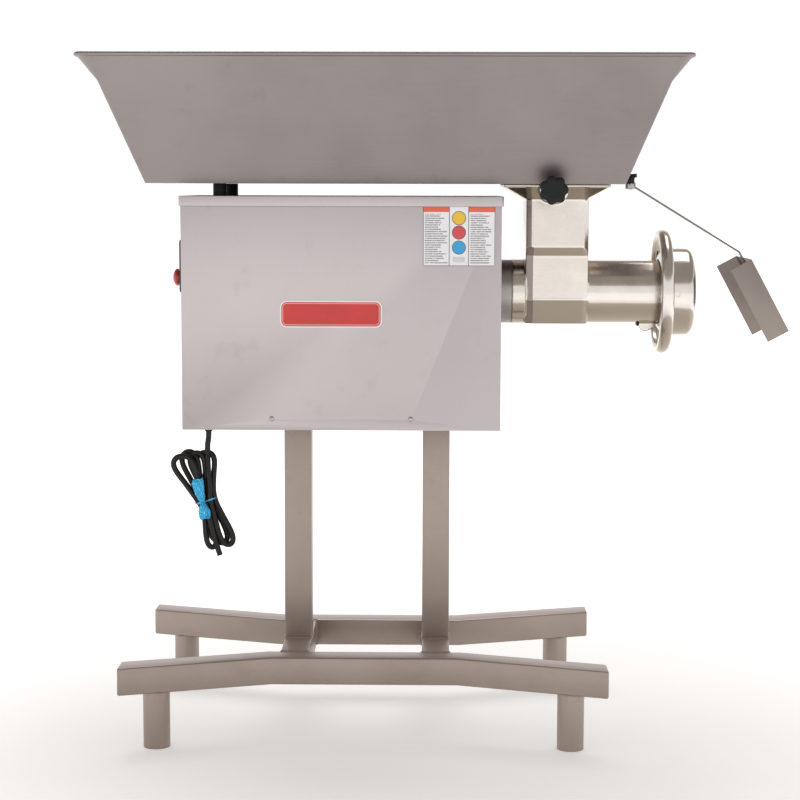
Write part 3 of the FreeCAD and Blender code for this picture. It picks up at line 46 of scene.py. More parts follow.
slotOf = {part["node"]: part["material_slot"] for part in frame["record"]["subparts"]}
# middles of stand and cabinet, the cabinet's right wall, and the height of the barrel's axis
standX, cabinetX, faceX = -0.1354, -0.1779, 0.1096
axisZ = 0.812
print("frame loaded")

# camera
cameraSettings = {"place": (-0.0204, -3.7429, 1.0069), "lookDown": 0.1067, "turn": -0.0143, "roll": 0.0025,
                  "lens": 89.8}


def makeCamera(s):
    down, turn = s["lookDown"], s["turn"]
    ahead = Vector((math.sin(turn) * math.cos(down), math.cos(turn) * math.cos(down), -math.sin(down)))
    right = Vector((math.cos(turn), -math.sin(turn), 0))
    up = right.cross(ahead)
    across = right * math.cos(s["roll"]) + up * math.sin(s["roll"])
    upright = up * math.cos(s["roll"]) - right * math.sin(s["roll"])
    camera = bpy.data.objects.new("camera", bpy.data.cameras.new("camera"))
    camera.data.lens = s["lens"]
    camera.data.clip_end = 100
    facing = Matrix((across, upright, -ahead)).transposed()
    camera.matrix_world = Matrix.Translation(s["place"]) @ facing.to_4x4()
    bpy.context.scene.collection.objects.link(camera)
    bpy.context.scene.camera = camera


makeCamera(cameraSettings)
print("camera set")

# supply cord: down from the gland, then eight folds through a tied waist, to a bare end
cordSettings = {
    "radius": 0.0054,
    "drop": [(-0.4336, -0.0200, 0.5480), (-0.4336, -0.0200, 0.5358), (-0.4358, -0.0208, 0.5232),
             (-0.4358, -0.0208, 0.5110), (-0.4352, -0.0255, 0.4900), (-0.4335, -0.0300, 0.4650),
             (-0.4318, -0.0310, 0.4400)],
    "waist": (-0.4395, 0.4180), "across": (0.95, 0.31),
    # where each pass crosses the waist: distance across it, and depth
    "passes": [(0.0080, -0.0310), (0.0145, -0.0235), (0.0095, -0.0145), (0.0040, -0.0225), (-0.0005, -0.0135),
               (-0.0055, -0.0220), (-0.0105, -0.0135), (-0.0145, -0.0220), (-0.0020, -0.0310)],
    # each fold: its far end, half width, the side it leaves on, and how far its end stands back
    "folds": [(-0.3945, 0.3325, 0.0100, -1, 0.002), (-0.4455, 0.5065, 0.0185, 1, 0.003),
              (-0.4065, 0.3335, 0.0095, 1, 0.004), (-0.4600, 0.5060, 0.0130, 1, -0.001),
              (-0.4260, 0.3275, 0.0085, 1, -0.009), (-0.4755, 0.5080, 0.0140, 1, 0.002),
              (-0.4190, 0.3380, 0.0090, -1, 0.006), (-0.4885, 0.5010, 0.0160, -1, -0.002)],
    "pointsPerFold": 10, "blunt": 0.6,
    "tail": [(-0.4330, -0.0315, 0.3900), (-0.4265, -0.0310, 0.3620), (-0.4200, -0.0290, 0.3350),
             (-0.4130, -0.0280, 0.3130)],
}


def cordRoute(s):
    waistX, waistZ = s["waist"]
    crossings = [Vector((waistX + s["across"][0] * a, y, waistZ + s["across"][1] * a))
                 for a, y in s["passes"]]
    sideways = Vector((s["across"][0], 0, s["across"][1]))
    route = [Vector(p) for p in s["drop"]] + [crossings[0]]
    count = s["pointsPerFold"]
    for (tipX, tipZ, half, side, back), start, stop in zip(s["folds"], crossings, crossings[1:]):
        reach = Vector((tipX, 0, tipZ)) - Vector(((start.x + stop.x) / 2, 0, (start.z + stop.z) / 2))
        for i in range(1, count + 1):
            t = i / (count + 1)
            rise = math.sin(math.pi * t) ** s["blunt"]
            spread = side * half * math.sin(2 * math.pi * t)
            depth = Vector((0, back * rise, 0))
            route.append(start.lerp(stop, t) + reach * rise + sideways * spread + depth)
        route.append(stop)
    return route + [Vector(p) for p in s["tail"]]


def splineLength(curveObject):
    curve = curveObject.data
    thickness, curve.bevel_depth = curve.bevel_depth, 0
    line = bpy.data.meshes.new_from_object(curveObject.evaluated_get(bpy.context.evaluated_depsgraph_get()))
    curve.bevel_depth = thickness
    total = sum((line.vertices[e.vertices[0]].co - line.vertices[e.vertices[1]].co).length
                for e in line.edges)
    bpy.data.meshes.remove(line)
    return total


def makeCord(s):
    curve = bpy.data.curves.new("supplyCord", "CURVE")
    curve.dimensions = "3D"
    curve.resolution_u = 10
    spline = curve.splines.new("NURBS")
    route = cordRoute(s)
    spline.points.add(len(route) - 1)
    for point, place in zip(spline.points, route):
        point.co = (*place, 1)
    spline.order_u = 3
    spline.use_endpoint_u = True
    cord = bpy.data.objects.new("supplyCord", curve)
    bpy.context.scene.collection.objects.link(cord)
    length = splineLength(cord)
    curve.bevel_depth = s["radius"]
    curve.bevel_resolution = 6
    curve.use_fill_caps = True
    print("cord length", round(length, 3))
    return cord, length


cord, cordLength = makeCord(cordSettings)


# shader building: numbers as expressions, everything else through one method
class Shade:
    def __init__(self, finish, socket):
        self.finish = finish
        self.socket = socket

    def join(self, operation, first, second=0.0):
        return self.finish.node("Math", {"operation": operation}, {0: first, 1: second})

    def __add__(self, other):
        return self.join("ADD", self, other)

    def __radd__(self, other):
        return self.join("ADD", other, self)

    def __sub__(self, other):
        return self.join("SUBTRACT", self, other)

    def __rsub__(self, other):
        return self.join("SUBTRACT", other, self)

    def __mul__(self, other):
        return self.join("MULTIPLY", self, other)

    def __rmul__(self, other):
        return self.join("MULTIPLY", other, self)

    def __truediv__(self, other):
        return self.join("DIVIDE", self, other)

    def __pow__(self, other):
        return self.join("POWER", self, other)

    def __gt__(self, other):
        return self.join("GREATER_THAN", self, other)

    def __lt__(self, other):
        return self.join("LESS_THAN", self, other)

    def __mod__(self, other):
        return self.join("FLOORED_MODULO", self, other)

    def __abs__(self):
        return self.join("ABSOLUTE", self)

    def atLeast(self, other):
        return self.join("MAXIMUM", self, other)


class Finish:
    def __init__(self, owner):
        owner.use_nodes = True
        self.owner = owner
        self.tree = owner.node_tree
        self.tree.nodes.clear()

    def node(self, kind, settings=None, sockets=None, out=0):
        made = self.tree.nodes.new("ShaderNode" + kind)
        for key, value in (settings or {}).items():
            if key == "stops":
                ramp = made.color_ramp.elements
                while len(ramp) < len(value):
                    ramp.new(0.5)
                for element, (position, colour) in zip(ramp, value):
                    element.position, element.color = position, (*colour, 1)
            else:
                setattr(made, key, value)
        for key, value in (sockets or {}).items():
            if isinstance(value, Shade):
                self.tree.links.new(value.socket, made.inputs[key])
            else:
                made.inputs[key].default_value = value
        return Shade(self, made.outputs[out]) if len(made.outputs) else None

    def place(self):
        return self.node("TexCoord", out=3)

    def axes(self, point):
        split = self.node("SeparateXYZ", None, {0: point})
        return [Shade(self, split.socket.node.outputs[i]) for i in range(3)]

    def stretched(self, point, factors):
        return self.node("VectorMath", {"operation": "MULTIPLY"}, {0: point, 1: factors})

    def moved(self, point, by):
        return self.node("VectorMath", {"operation": "ADD"}, {0: point, 1: by})

    def noise(self, point, scale, detail=2.0, rough=0.5):
        return self.node("TexNoise", None, {"Vector": point, "Scale": scale, "Detail": detail,
                                            "Roughness": rough})

    def cells(self, point, scale, feature="F1"):
        return self.node("TexVoronoi", {"feature": feature}, {"Vector": point, "Scale": scale})

    def mix(self, amount, first, second):
        colours = [c if isinstance(c, Shade) else (*c, 1) for c in (first, second)]
        return self.node("Mix", {"data_type": "RGBA"}, {0: amount, 6: colours[0], 7: colours[1]}, out=2)

    def ramp(self, amount, stops):
        return self.node("ValToRGB", {"stops": stops}, {0: amount})

    def band(self, amount, low, high):
        return self.node("MapRange", {"interpolation_type": "SMOOTHSTEP"}, {0: amount, 1: low, 2: high})

    def bump(self, height, strength, distance, under=None):
        sockets = {"Height": height, "Strength": strength, "Distance": distance}
        if under is not None:
            sockets["Normal"] = under
        return self.node("Bump", None, sockets)

    def surface(self, **sockets):
        named = {key.replace("_", " "): value for key, value in sockets.items()}
        shader = self.node("BsdfPrincipled", None, named)
        self.node("OutputMaterial", None, {"Surface": shader})
        return self.owner


def newFinish(name):
    return Finish(bpy.data.materials.new(name))


# sheet and tube steel: long grain, cloudy patches and a few rubbed marks
def grainedSteel(name, tone, shadow, grain, roughness, grainDepth=0.10, cloud=2.6, metal=1.0, marks=0.25,
                 wearAndTopSheen=None):
    f = newFinish(name)
    here = f.place()
    streak = f.noise(f.stretched(here, grain), 1.0, 3.0, 0.6)
    patch = f.noise(here, cloud, 4.0, 0.55)
    rub = f.noise(f.moved(here, (3.1, 1.7, 0.4)), 21.0, 3.0, 0.6)
    marked = f.band(rub, 0.58, 0.78) * marks
    colour = f.mix(f.band(patch * 0.75 + streak * 0.25, 0.34, 0.66), shadow, tone)
    colour = f.mix(marked, colour, tuple(c * 0.82 for c in shadow))
    if wearAndTopSheen:  # painted sheen: faces that point up are lighter
        slope = f.axes(f.node("NewGeometry", out=1))[2]
        colour = f.mix(f.band(slope, 0.55, 0.85), colour, wearAndTopSheen)
    gloss = roughness + (streak - 0.5) * 0.16 + (patch - 0.5) * 0.10 + marked * 0.12
    return f.surface(Base_Color=colour, Metallic=metal, Roughness=gloss,
                     Normal=f.bump(streak + rub * 0.4, grainDepth, 0.0004))


# cast and polished steel: a bright base tone, with painted shade making its underside darker and browner and
# a painted reflection darkening its top faces
def castSteel(name, tone, shadow, roughness, under=(0.415, 0.358, 0.292), paintedTopReflection=(0.62, 0.55, 0.48)):
    f = newFinish(name)
    here = f.place()
    slope = f.axes(f.node("NewGeometry", out=1))[2]
    cloud = f.noise(here, 9.0, 4.0, 0.6)
    peel = f.noise(here, 260.0, 2.0, 0.5)
    swirl = f.noise(f.stretched(here, (60, 900, 160)), 1.0, 2.0, 0.5)
    pit = f.band(f.cells(here, 190.0), 0.10, 0.02) * f.band(cloud, 0.52, 0.66)
    wander = (f.noise(here, 22.0, 3.0, 0.6) - 0.5) * 0.10
    colour = f.mix(f.band(cloud, 0.36, 0.64), shadow, tone)
    # painted shade: faces that point down take the darker, browner under colour
    colour = f.mix(f.band(slope + wander, -0.28, -0.36), colour, under)
    # painted reflection: faces that point up take a darker, browner colour
    colour = f.mix(f.band(slope + wander, 0.66, 0.84) * 0.9, colour, paintedTopReflection)
    colour = f.mix(pit * 0.55, colour, tuple(c * 0.45 for c in shadow))
    gloss = roughness + (cloud - 0.5) * 0.12 + (swirl - 0.5) * 0.10 + pit * 0.2
    height = peel * 0.5 + swirl * 0.35 + cloud * 2.2 - pit * 0.8
    return f.surface(Base_Color=colour, Metallic=1.0, Roughness=gloss, Normal=f.bump(height, 0.11, 0.0006))


# steel turned about the barrel's axis: fine rings
def turnedSteel(name, tone, shadow, roughness, centre, depth=0.10):
    f = newFinish(name)
    here = f.moved(f.place(), (0, -centre[0], -centre[1]))
    x, y, z = f.axes(here)
    radius = (y * y + z * z) ** 0.5
    ring = f.node("TexNoise", {"noise_dimensions": "1D"}, {"W": x * 1500.0 + radius * 1500.0, "Detail": 3.0})
    cloud = f.noise(here, 14.0, 3.0, 0.55)
    colour = f.mix(f.band(ring * 0.6 + cloud * 0.4, 0.36, 0.64), shadow, tone)
    gloss = roughness + (ring - 0.5) * 0.14 + (cloud - 0.5) * 0.08
    return f.surface(Base_Color=colour, Metallic=1.0, Roughness=gloss, Normal=f.bump(ring, depth, 0.0003))


# moulded plastic, rubber and enamel: fine texture with scuffs
def moulded(name, tone, roughness, texture=700.0, depth=0.08, coat=0.0, scuff=0.10, shine=0.5):
    f = newFinish(name)
    here = f.place()
    fine = f.noise(here, texture, 2.0, 0.5)
    cloud = f.noise(here, 30.0, 3.0, 0.6)
    wearAndTopSheen = f.band(cloud, 0.55, 0.75)
    colour = f.mix(wearAndTopSheen * scuff, tone, tuple(min(1.0, c * 1.5 + 0.04) for c in tone))
    gloss = roughness + (cloud - 0.5) * 0.14 + (fine - 0.5) * 0.06
    return f.surface(Base_Color=colour, Metallic=0.0, Roughness=gloss, Coat_Weight=coat, Coat_Roughness=0.12,
                     Specular_IOR_Level=shine,
                     Normal=f.bump(fine + cloud * 0.5, depth, 0.0004))


# stacked sheets of a motor's iron, or wound wire: even ridges along one axis, with painted shade darkest in
# the grooves between them
def ridged(name, tone, shadow, ridgesPerMetre, metal, roughness):
    f = newFinish(name)
    x, y, z = f.axes(f.place())
    ridge = abs((x * ridgesPerMetre) % 1.0 - 0.5) * 2.0
    cloud = f.noise(f.place(), 40.0, 3.0, 0.6)
    # painted shade: the grooves take the shadow colour
    colour = f.mix(ridge * 0.6 + cloud * 0.4, shadow, tone)
    return f.surface(Base_Color=colour, Metallic=metal, Roughness=roughness + (cloud - 0.5) * 0.1,
                     Normal=f.bump(ridge, 0.3, 0.0004))


# plain red plate with a pale edge and a thin inner line
badgeSettings = {"middle": (cabinetX - 0.018, 0.778), "half": (0.0915, 0.024), "corner": 0.012,
                 "red": (0.62, 0.020, 0.018), "pale": (0.86, 0.80, 0.78)}


def badgePrint(s):
    f = newFinish("redBadge")
    here = f.place()
    x, y, z = f.axes(here)
    sideX = (abs(x - s["middle"][0]) - (s["half"][0] - s["corner"])).atLeast(0.0)
    sideZ = (abs(z - s["middle"][1]) - (s["half"][1] - s["corner"])).atLeast(0.0)
    inset = s["corner"] - (sideX * sideX + sideZ * sideZ) ** 0.5
    edge = f.band(inset, 0.0026, 0.0018)
    line = f.band(inset, 0.0040, 0.0044) * f.band(inset, 0.0056, 0.0052) * 0.55
    fade = f.noise(here, 12.0, 3.0, 0.5)
    red = f.mix(f.band(fade, 0.3, 0.7), tuple(c * 0.82 for c in s["red"]), s["red"])
    colour = f.mix((edge + line), red, s["pale"])
    return f.surface(Base_Color=colour, Metallic=0.0, Roughness=0.34 + (fade - 0.5) * 0.1, Coat_Weight=0.35,
                     Normal=f.bump(edge, 0.25, 0.0004))


# information label: three framed columns, coloured heads, grey lines and three plain discs
labelSettings = {"left": cabinetX + 0.1467, "low": 0.865, "width": 0.129, "height": 0.107,
                 "columns": (0.364, 0.631), "ink": (0.05, 0.05, 0.06), "paper": (0.80, 0.80, 0.82),
                 "head": (0.72, 0.12, 0.05), "discs": [(0.80, (0.80, 0.50, 0.02)), (0.56, (0.62, 0.05, 0.06)),
                                                       (0.31, (0.01, 0.34, 0.66))]}


def labelPrint(s):
    f = newFinish("labelPrint")
    here = f.place()
    x, y, z = f.axes(here)
    u = (x - s["left"]) / s["width"]
    v = (z - s["low"]) / s["height"]
    first, second = s["columns"]
    middle = (u > first) * (u < second)
    outer = 1.0 - middle
    frameLine = ((abs(u - first) < 0.006) + (abs(u - second) < 0.006)
                 + (abs(u - 0.5) > 0.490) + (abs(v - 0.5) > 0.488))
    head = outer * (v > 0.90)
    rows = 27.0
    rowNumber = v * rows - (v * rows) % 1.0
    ragged = f.node("TexWhiteNoise", {"noise_dimensions": "2D"},
                    {"Vector": f.node("CombineXYZ", None, {0: rowNumber, 1: u > 0.5})})
    columnStart = 0.025 + (u > 0.5) * 0.632
    along = (u - columnStart) / 0.315
    words = f.noise(f.stretched(here, (560, 1, 250)), 1.0, 1.0, 0.5)
    lines = (abs((v * rows) % 1.0 - 0.5) < 0.26) * (along > 0.0) * (along < (ragged * 0.45 + 0.55))
    lines = lines * f.band(words, 0.34, 0.42) * outer * (v < 0.87) * (v > 0.03)
    colour = f.mix(head, s["paper"], s["head"])
    colour = f.mix(lines * 0.72, colour, s["ink"])
    for height, tone in s["discs"]:
        offX = (x - (s["left"] + s["width"] * 0.498)) / 0.0125
        offZ = (z - (s["low"] + s["height"] * height)) / 0.0125
        away = (offX * offX + offZ * offZ) ** 0.5
        colour = f.mix(f.band(away, 1.03, 0.97), colour, s["ink"])
        colour = f.mix(f.band(away, 0.93, 0.88), colour, tone)
    hatch = ((abs((x * 620.0) % 1.0 - 0.5) < 0.22) * middle
             * (abs(v - 0.11) < 0.045) * (abs(u - 0.497) < 0.085))
    colour = f.mix(hatch * 0.6 + frameLine * 0.8, colour, s["ink"])
    haze = f.noise(here, 60.0, 3.0, 0.5)
    return f.surface(Base_Color=colour, Metallic=0.0, Roughness=0.30 + (haze - 0.5) * 0.12, Coat_Weight=0.3,
                     Normal=f.bump(haze, 0.05, 0.0003))


# crumpled blue film, with painted shade darkest along its creases and painted glints palest on the flats
# between them
def filmWithPaintedShadeAndGlints():
    f = newFinish("blueFilm")
    here = f.place()
    fold = f.cells(f.stretched(here, (150, 90, 60)), 2.2, "DISTANCE_TO_EDGE")
    fine = f.noise(here, 420.0, 3.0, 0.6)
    # painted shade and glints: colour runs from dark navy in the creases to pale cyan on the flats
    colour = f.ramp(fold * 0.9 + fine * 0.45, [(0.12, (0.002, 0.07, 0.28)), (0.30, (0.0, 0.36, 0.74)),
                                               (0.50, (0.01, 0.60, 0.90)), (0.72, (0.45, 0.90, 1.0))])
    return f.surface(Base_Color=colour, Metallic=0.25, Roughness=0.16 + fine * 0.14, Coat_Weight=0.6,
                     Normal=f.bump(fold + fine * 0.4, 0.7, 0.0016))


finishes = {
    # stand tubes: the lighter colour on their upper faces is a painted sheen
    "stand_tube": grainedSteel("satinTube", (0.385, 0.326, 0.288), (0.330, 0.275, 0.240), (90, 900, 900),
                               0.40, 0.08, 5.0, 0.92, wearAndTopSheen=(0.53, 0.455, 0.435)),
    "cabinet_sheet": grainedSteel("brushedCabinet", (0.520, 0.480, 0.487), (0.468, 0.430, 0.436),
                                  (1500, 1500, 10), 0.42, 0.05, 2.2),
    "pan_sheet": grainedSteel("satinPan", (0.318, 0.284, 0.282), (0.262, 0.230, 0.228), (12, 1300, 1300),
                              0.44, 0.05, 3.2),
    "guard_steel": grainedSteel("satinGuard", (0.300, 0.262, 0.236), (0.255, 0.220, 0.197), (700, 12, 700),
                                0.42, 0.06, 8.0),
    "hub_steel": turnedSteel("turnedHub", (0.46, 0.44, 0.425), (0.26, 0.25, 0.24), 0.36, (0.0, axisZ), 0.25),
    "head_casting": castSteel("castHead", (0.735, 0.700, 0.655), (0.655, 0.612, 0.562), 0.19),
    "machined_steel": turnedSteel("machinedSteel", (0.62, 0.61, 0.60), (0.48, 0.47, 0.46), 0.28,
                                  (0.0, axisZ)),
    "bearing_steel": turnedSteel("groundSteel", (0.66, 0.66, 0.66), (0.55, 0.55, 0.55), 0.20,
                                 (0.0, axisZ), 0.05),
    "fastener": grainedSteel("zincSteel", (0.50, 0.49, 0.48), (0.40, 0.39, 0.38), (500, 500, 500),
                             0.34, 0.10, 40.0),
    "laminations": ridged("stackedIron", (0.20, 0.20, 0.21), (0.08, 0.08, 0.09), 1400.0, 0.8, 0.45),
    "winding_copper": ridged("varnishedWire", (0.60, 0.26, 0.10), (0.30, 0.10, 0.03), 700.0, 0.9, 0.32),
    "motor_casting": moulded("motorEnamel", (0.035, 0.075, 0.10), 0.38, 500.0, 0.12, 0.3),
    "gearbox_casting": moulded("gearboxEnamel", (0.10, 0.11, 0.12), 0.40, 420.0, 0.14, 0.3),
    "painted_steel": moulded("blackEnamel", (0.025, 0.027, 0.03), 0.36, 600.0, 0.08, 0.3),
    "black_plastic": moulded("blackPlastic", (0.006, 0.006, 0.0065), 0.36, 900.0, 0.10,
                              scuff=0.03, shine=0.25),
    "switch_plastic": moulded("switchPlastic", (0.022, 0.022, 0.024), 0.42, 1100.0, 0.12,
                               scuff=0.05, shine=0.35),
    "white_plastic": moulded("whitePlastic", (0.74, 0.73, 0.69), 0.40, 800.0, 0.06),
    "green_button": moulded("greenPlastic", (0.02, 0.26, 0.06), 0.28, 700.0, 0.05, 0.4),
    "red_button": moulded("redPlastic", (0.45, 0.015, 0.012), 0.28, 700.0, 0.05, 0.4),
    "black_rubber": moulded("blackRubber", (0.006, 0.006, 0.006), 0.55, 900.0, 0.14, scuff=0.03, shine=0.25),
    "cord_rubber": moulded("cordJacket", (0.009, 0.0075, 0.0075), 0.42, 1300.0, 0.10, scuff=0.04, shine=0.32),
    "red_badge": badgePrint(badgeSettings),
    "label_print": labelPrint(labelSettings),
    "tie_film": filmWithPaintedShadeAndGlints(),
}
for node, thing in frame["nodes"].items():
    thing.data.materials.clear()
    thing.data.materials.append(finishes[slotOf[node]])
print("finishes made")


# mesh helpers
def addPiece(name, mesh, node, slot=None, replace=True):
    piece = bpy.data.objects.new(name, mesh)
    bpy.context.scene.collection.objects.link(piece)
    slot = slot or slotOf[node]
    mesh.materials.clear()
    mesh.materials.append(finishes[slot])
    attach(piece, bodyOf[node])
    if replace:
        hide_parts(node)
    return piece


def settle(piece):
    baked = bpy.data.meshes.new_from_object(piece.evaluated_get(bpy.context.evaluated_depsgraph_get()))
    piece.modifiers.clear()
    old, piece.data = piece.data, baked
    bpy.data.meshes.remove(old)
    return piece


def shadeByAngle(mesh, degrees):
    mesh.polygons.foreach_set("use_smooth", [True] * len(mesh.polygons))
    mesh.set_sharp_from_angle(angle=math.radians(degrees))


def softened(node, width, segments=3, angle=40):
    mesh = frame["nodes"][node].data.copy()
    form = bmesh.new()
    form.from_mesh(mesh)
    bmesh.ops.remove_doubles(form, verts=form.verts, dist=2e-6)
    bmesh.ops.dissolve_limit(form, angle_limit=math.radians(0.4), verts=form.verts, edges=form.edges)
    form.to_mesh(mesh)
    form.free()
    piece = addPiece(node + ".rounded", mesh, node)
    bevel = piece.modifiers.new("edges", "BEVEL")
    bevel.width, bevel.segments = width, segments
    bevel.limit_method, bevel.angle_limit = "ANGLE", math.radians(angle)
    bevel.miter_outer = "MITER_ARC"
    settle(piece)
    shadeByAngle(piece.data, 32)
    return piece


def lathe(name, profile, node, place=(0, 0, 0), axis="X", steps=96, slot=None, replace=True, closed=True):
    form = bmesh.new()
    rings = []
    for along, radius in profile:
        ring = []
        for i in range(steps):
            a = 2 * math.pi * i / steps
            across = (radius * math.cos(a), radius * math.sin(a))
            spot = {"X": (along, *across), "Y": (across[0], along, across[1]), "Z": (*across, along)}[axis]
            ring.append(form.verts.new(Vector(spot) + Vector(place)))
        rings.append(ring)
    pairs = list(zip(rings, rings[1:] + rings[:1])) if closed else list(zip(rings, rings[1:]))
    for low, high in pairs:
        for i in range(steps):
            k = (i + 1) % steps
            form.faces.new((low[i], low[k], high[k], high[i]))
    if not closed:
        form.faces.new(rings[0])
        form.faces.new(rings[-1])
    bmesh.ops.remove_doubles(form, verts=form.verts, dist=1e-6)
    bmesh.ops.recalc_face_normals(form, faces=form.faces)
    mesh = bpy.data.meshes.new(name)
    form.to_mesh(mesh)
    form.free()
    shadeByAngle(mesh, 30)
    return addPiece(name, mesh, node, slot, replace)


def arcPoints(centre, radius, start, stop, count):
    points = []
    for i in range(count + 1):
        a = math.radians(start + (stop - start) * i / count)
        points.append((centre[0] + radius * math.cos(a), centre[1] + radius * math.sin(a)))
    return points


def carve(piece, cutters):
    for cutter in cutters:
        tool = piece.modifiers.new("cut", "BOOLEAN")
        tool.object, tool.operation, tool.solver = cutter, "DIFFERENCE", "EXACT"
    settle(piece)
    for cutter in cutters:
        bpy.data.objects.remove(cutter)
    shadeByAngle(piece.data, 32)


def rodCutter(radius, length, centre, axis, stretch=(1, 1, 1), turn=0.0):
    mesh = bpy.data.meshes.new("cutter")
    form = bmesh.new()
    bmesh.ops.create_cone(form, cap_ends=True, segments=40, radius1=radius, radius2=radius, depth=length)
    bmesh.ops.scale(form, vec=stretch, verts=form.verts)
    facing = {"X": Matrix.Rotation(math.pi / 2, 4, "Y"), "Y": Matrix.Rotation(math.pi / 2, 4, "X"),
              "Z": Matrix.Identity(4)}[axis]
    bmesh.ops.transform(form, matrix=Matrix.Translation(centre) @ Matrix.Rotation(turn, 4, axis) @ facing,
                        verts=form.verts)
    form.to_mesh(mesh)
    form.free()
    cutter = bpy.data.objects.new("cutter", mesh)
    bpy.context.scene.collection.objects.link(cutter)
    return cutter


# tubes of the stand, with rounded corners
tubeSettings = {"corner": 0.0035, "nodes": ["front_bar", "rear_bar", "left_cross_tube", "right_cross_tube",
                                            "left_upright", "right_upright"]}
for node in tubeSettings["nodes"]:
    softened(node, tubeSettings["corner"], 3)
for node, width in {"mounting_plates": 0.0012, "cabinet_shell": 0.0006, "cabinet_lid": 0.0006,
                    "rear_panel": 0.0003, "guard_channel": 0.0005,
                    "switch_bezel": 0.0025, "gearbox_cover": 0.0015, "gearbox_housing": 0.0025,
                    "gearbox_bracket": 0.001, "feet": 0.0006, "pan_posts": 0.0012}.items():
    softened(node, width, 3)
print("stand and cabinet rounded")


# head: one casting with blended edges
headSettings = {"cell": 0.0015, "passes": 6, "left": 0.0485, "right": 0.1635,
                "profile": [(0.0375, -0.0585), (0.0602, -0.013), (0.060, 0.068), (0.070, 0.084)],
                "low": [(0.0375, -0.0585), (0.0602, -0.013)], "leftBevel": (0.0135, 0.0080),
                "rightBevel": (0.0085, 0.0028), "bore": 0.0496}


def hullOf(name, points):
    form = bmesh.new()
    for point in points:
        form.verts.new(point)
    bmesh.ops.convex_hull(form, input=form.verts)
    bmesh.ops.recalc_face_normals(form, faces=form.faces)
    mesh = bpy.data.meshes.new(name)
    form.to_mesh(mesh)
    form.free()
    made = bpy.data.objects.new(name, mesh)
    bpy.context.scene.collection.objects.link(made)
    return made


def joinInto(piece, others):
    form = bmesh.new()
    form.from_mesh(piece.data)
    for other in others:
        form.from_mesh(other.data)
        bpy.data.objects.remove(other)
    form.to_mesh(piece.data)
    form.free()


# the block under the throat: its corners are cut along the side profile, its belly is a flat facet
def bevelCutters(s):
    cutters = []
    out = 0.002
    for (depth0, z0), (depth1, z1) in zip(s["profile"], s["profile"][1:]):
        for edge, inward, (wide, deep) in ((s["left"], 1, s["leftBevel"]), (s["right"], -1, s["rightBevel"])):
            run = out * wide / deep
            for face in (-1, 1):
                points = []
                for depth, z in ((depth0, z0 - 0.0001), (depth1, z1 + 0.0001)):
                    for x, y in ((edge + inward * (wide + run), depth + out),
                                 (edge - inward * 0.0002, depth - deep),
                                 (edge - inward * 0.0002, depth + out)):
                        points.append((faceX + x, face * y, axisZ + z))
                cutters.append(hullOf("cutter", points))
    return cutters


def bellyBlock(s):
    points = []
    for depth, z in s["low"]:
        for edge, inward, (wide, deep) in ((s["left"], 1, s["leftBevel"]), (s["right"], -1, s["rightBevel"])):
            for face in (-1, 1):
                points.append((faceX + edge + inward * wide, face * depth, axisZ + z))
                points.append((faceX + edge, face * (depth - deep), axisZ + z))
    block = hullOf("belly", points)
    carve(block, [rodCutter(s["bore"], 0.16, (faceX + 0.125, 0, axisZ), "X")])
    return block


def headExtras():
    boss = rodCutter(0.0205, 0.046, (faceX + 0.1005, -0.0935, axisZ + 0.1850), "Y")
    carve(boss, [hullOf("cutter", [(faceX + x, y, axisZ + z) for x in (0.05, 0.16) for y in (-0.13, -0.06)
                                   for z in (0.1990, 0.23)])])
    lug = hullOf("lug", [(faceX + x, y, axisZ + z) for y in (-0.012, 0.012)
                         for x, z in ((0.266, -0.055), (0.2955, -0.055), (0.2945, -0.067), (0.274, -0.0735))])
    return [boss, lug]


def blendedCasting(node, s):
    piece = addPiece(node + ".cast", frame["nodes"][node].data.copy(), node)
    carve(piece, bevelCutters(s))
    joinInto(piece, [bellyBlock(s)] + headExtras())
    grid = piece.modifiers.new("cells", "REMESH")
    grid.mode, grid.voxel_size, grid.use_smooth_shade = "VOXEL", s["cell"], True
    easing = piece.modifiers.new("ease", "SMOOTH")
    easing.factor, easing.iterations = 0.5, s["passes"]
    settle(piece)
    shadeByAngle(piece.data, 60)
    return piece


blendedCasting("grinding_head", headSettings)
print("head cast")

# ring nut: round rim, dished web with slots, and a cup
ringSettings = {"rimRadius": 0.1068, "rimTube": 0.0086, "rimStretch": 1.38, "rimStart": 0.2935,
                "start": 0.298, "cup": 0.081, "cupEnd": 0.361, "round": 0.014, "bore": 0.0616,
                "lip": 0.044, "lipStart": 0.349, "slots": 8, "slotReach": 0.0895,
                "slotX": 0.3065, "slotRadius": 0.0068, "slotLong": 2.2,
                "holeX": 0.3255, "holeRadius": 0.0052}


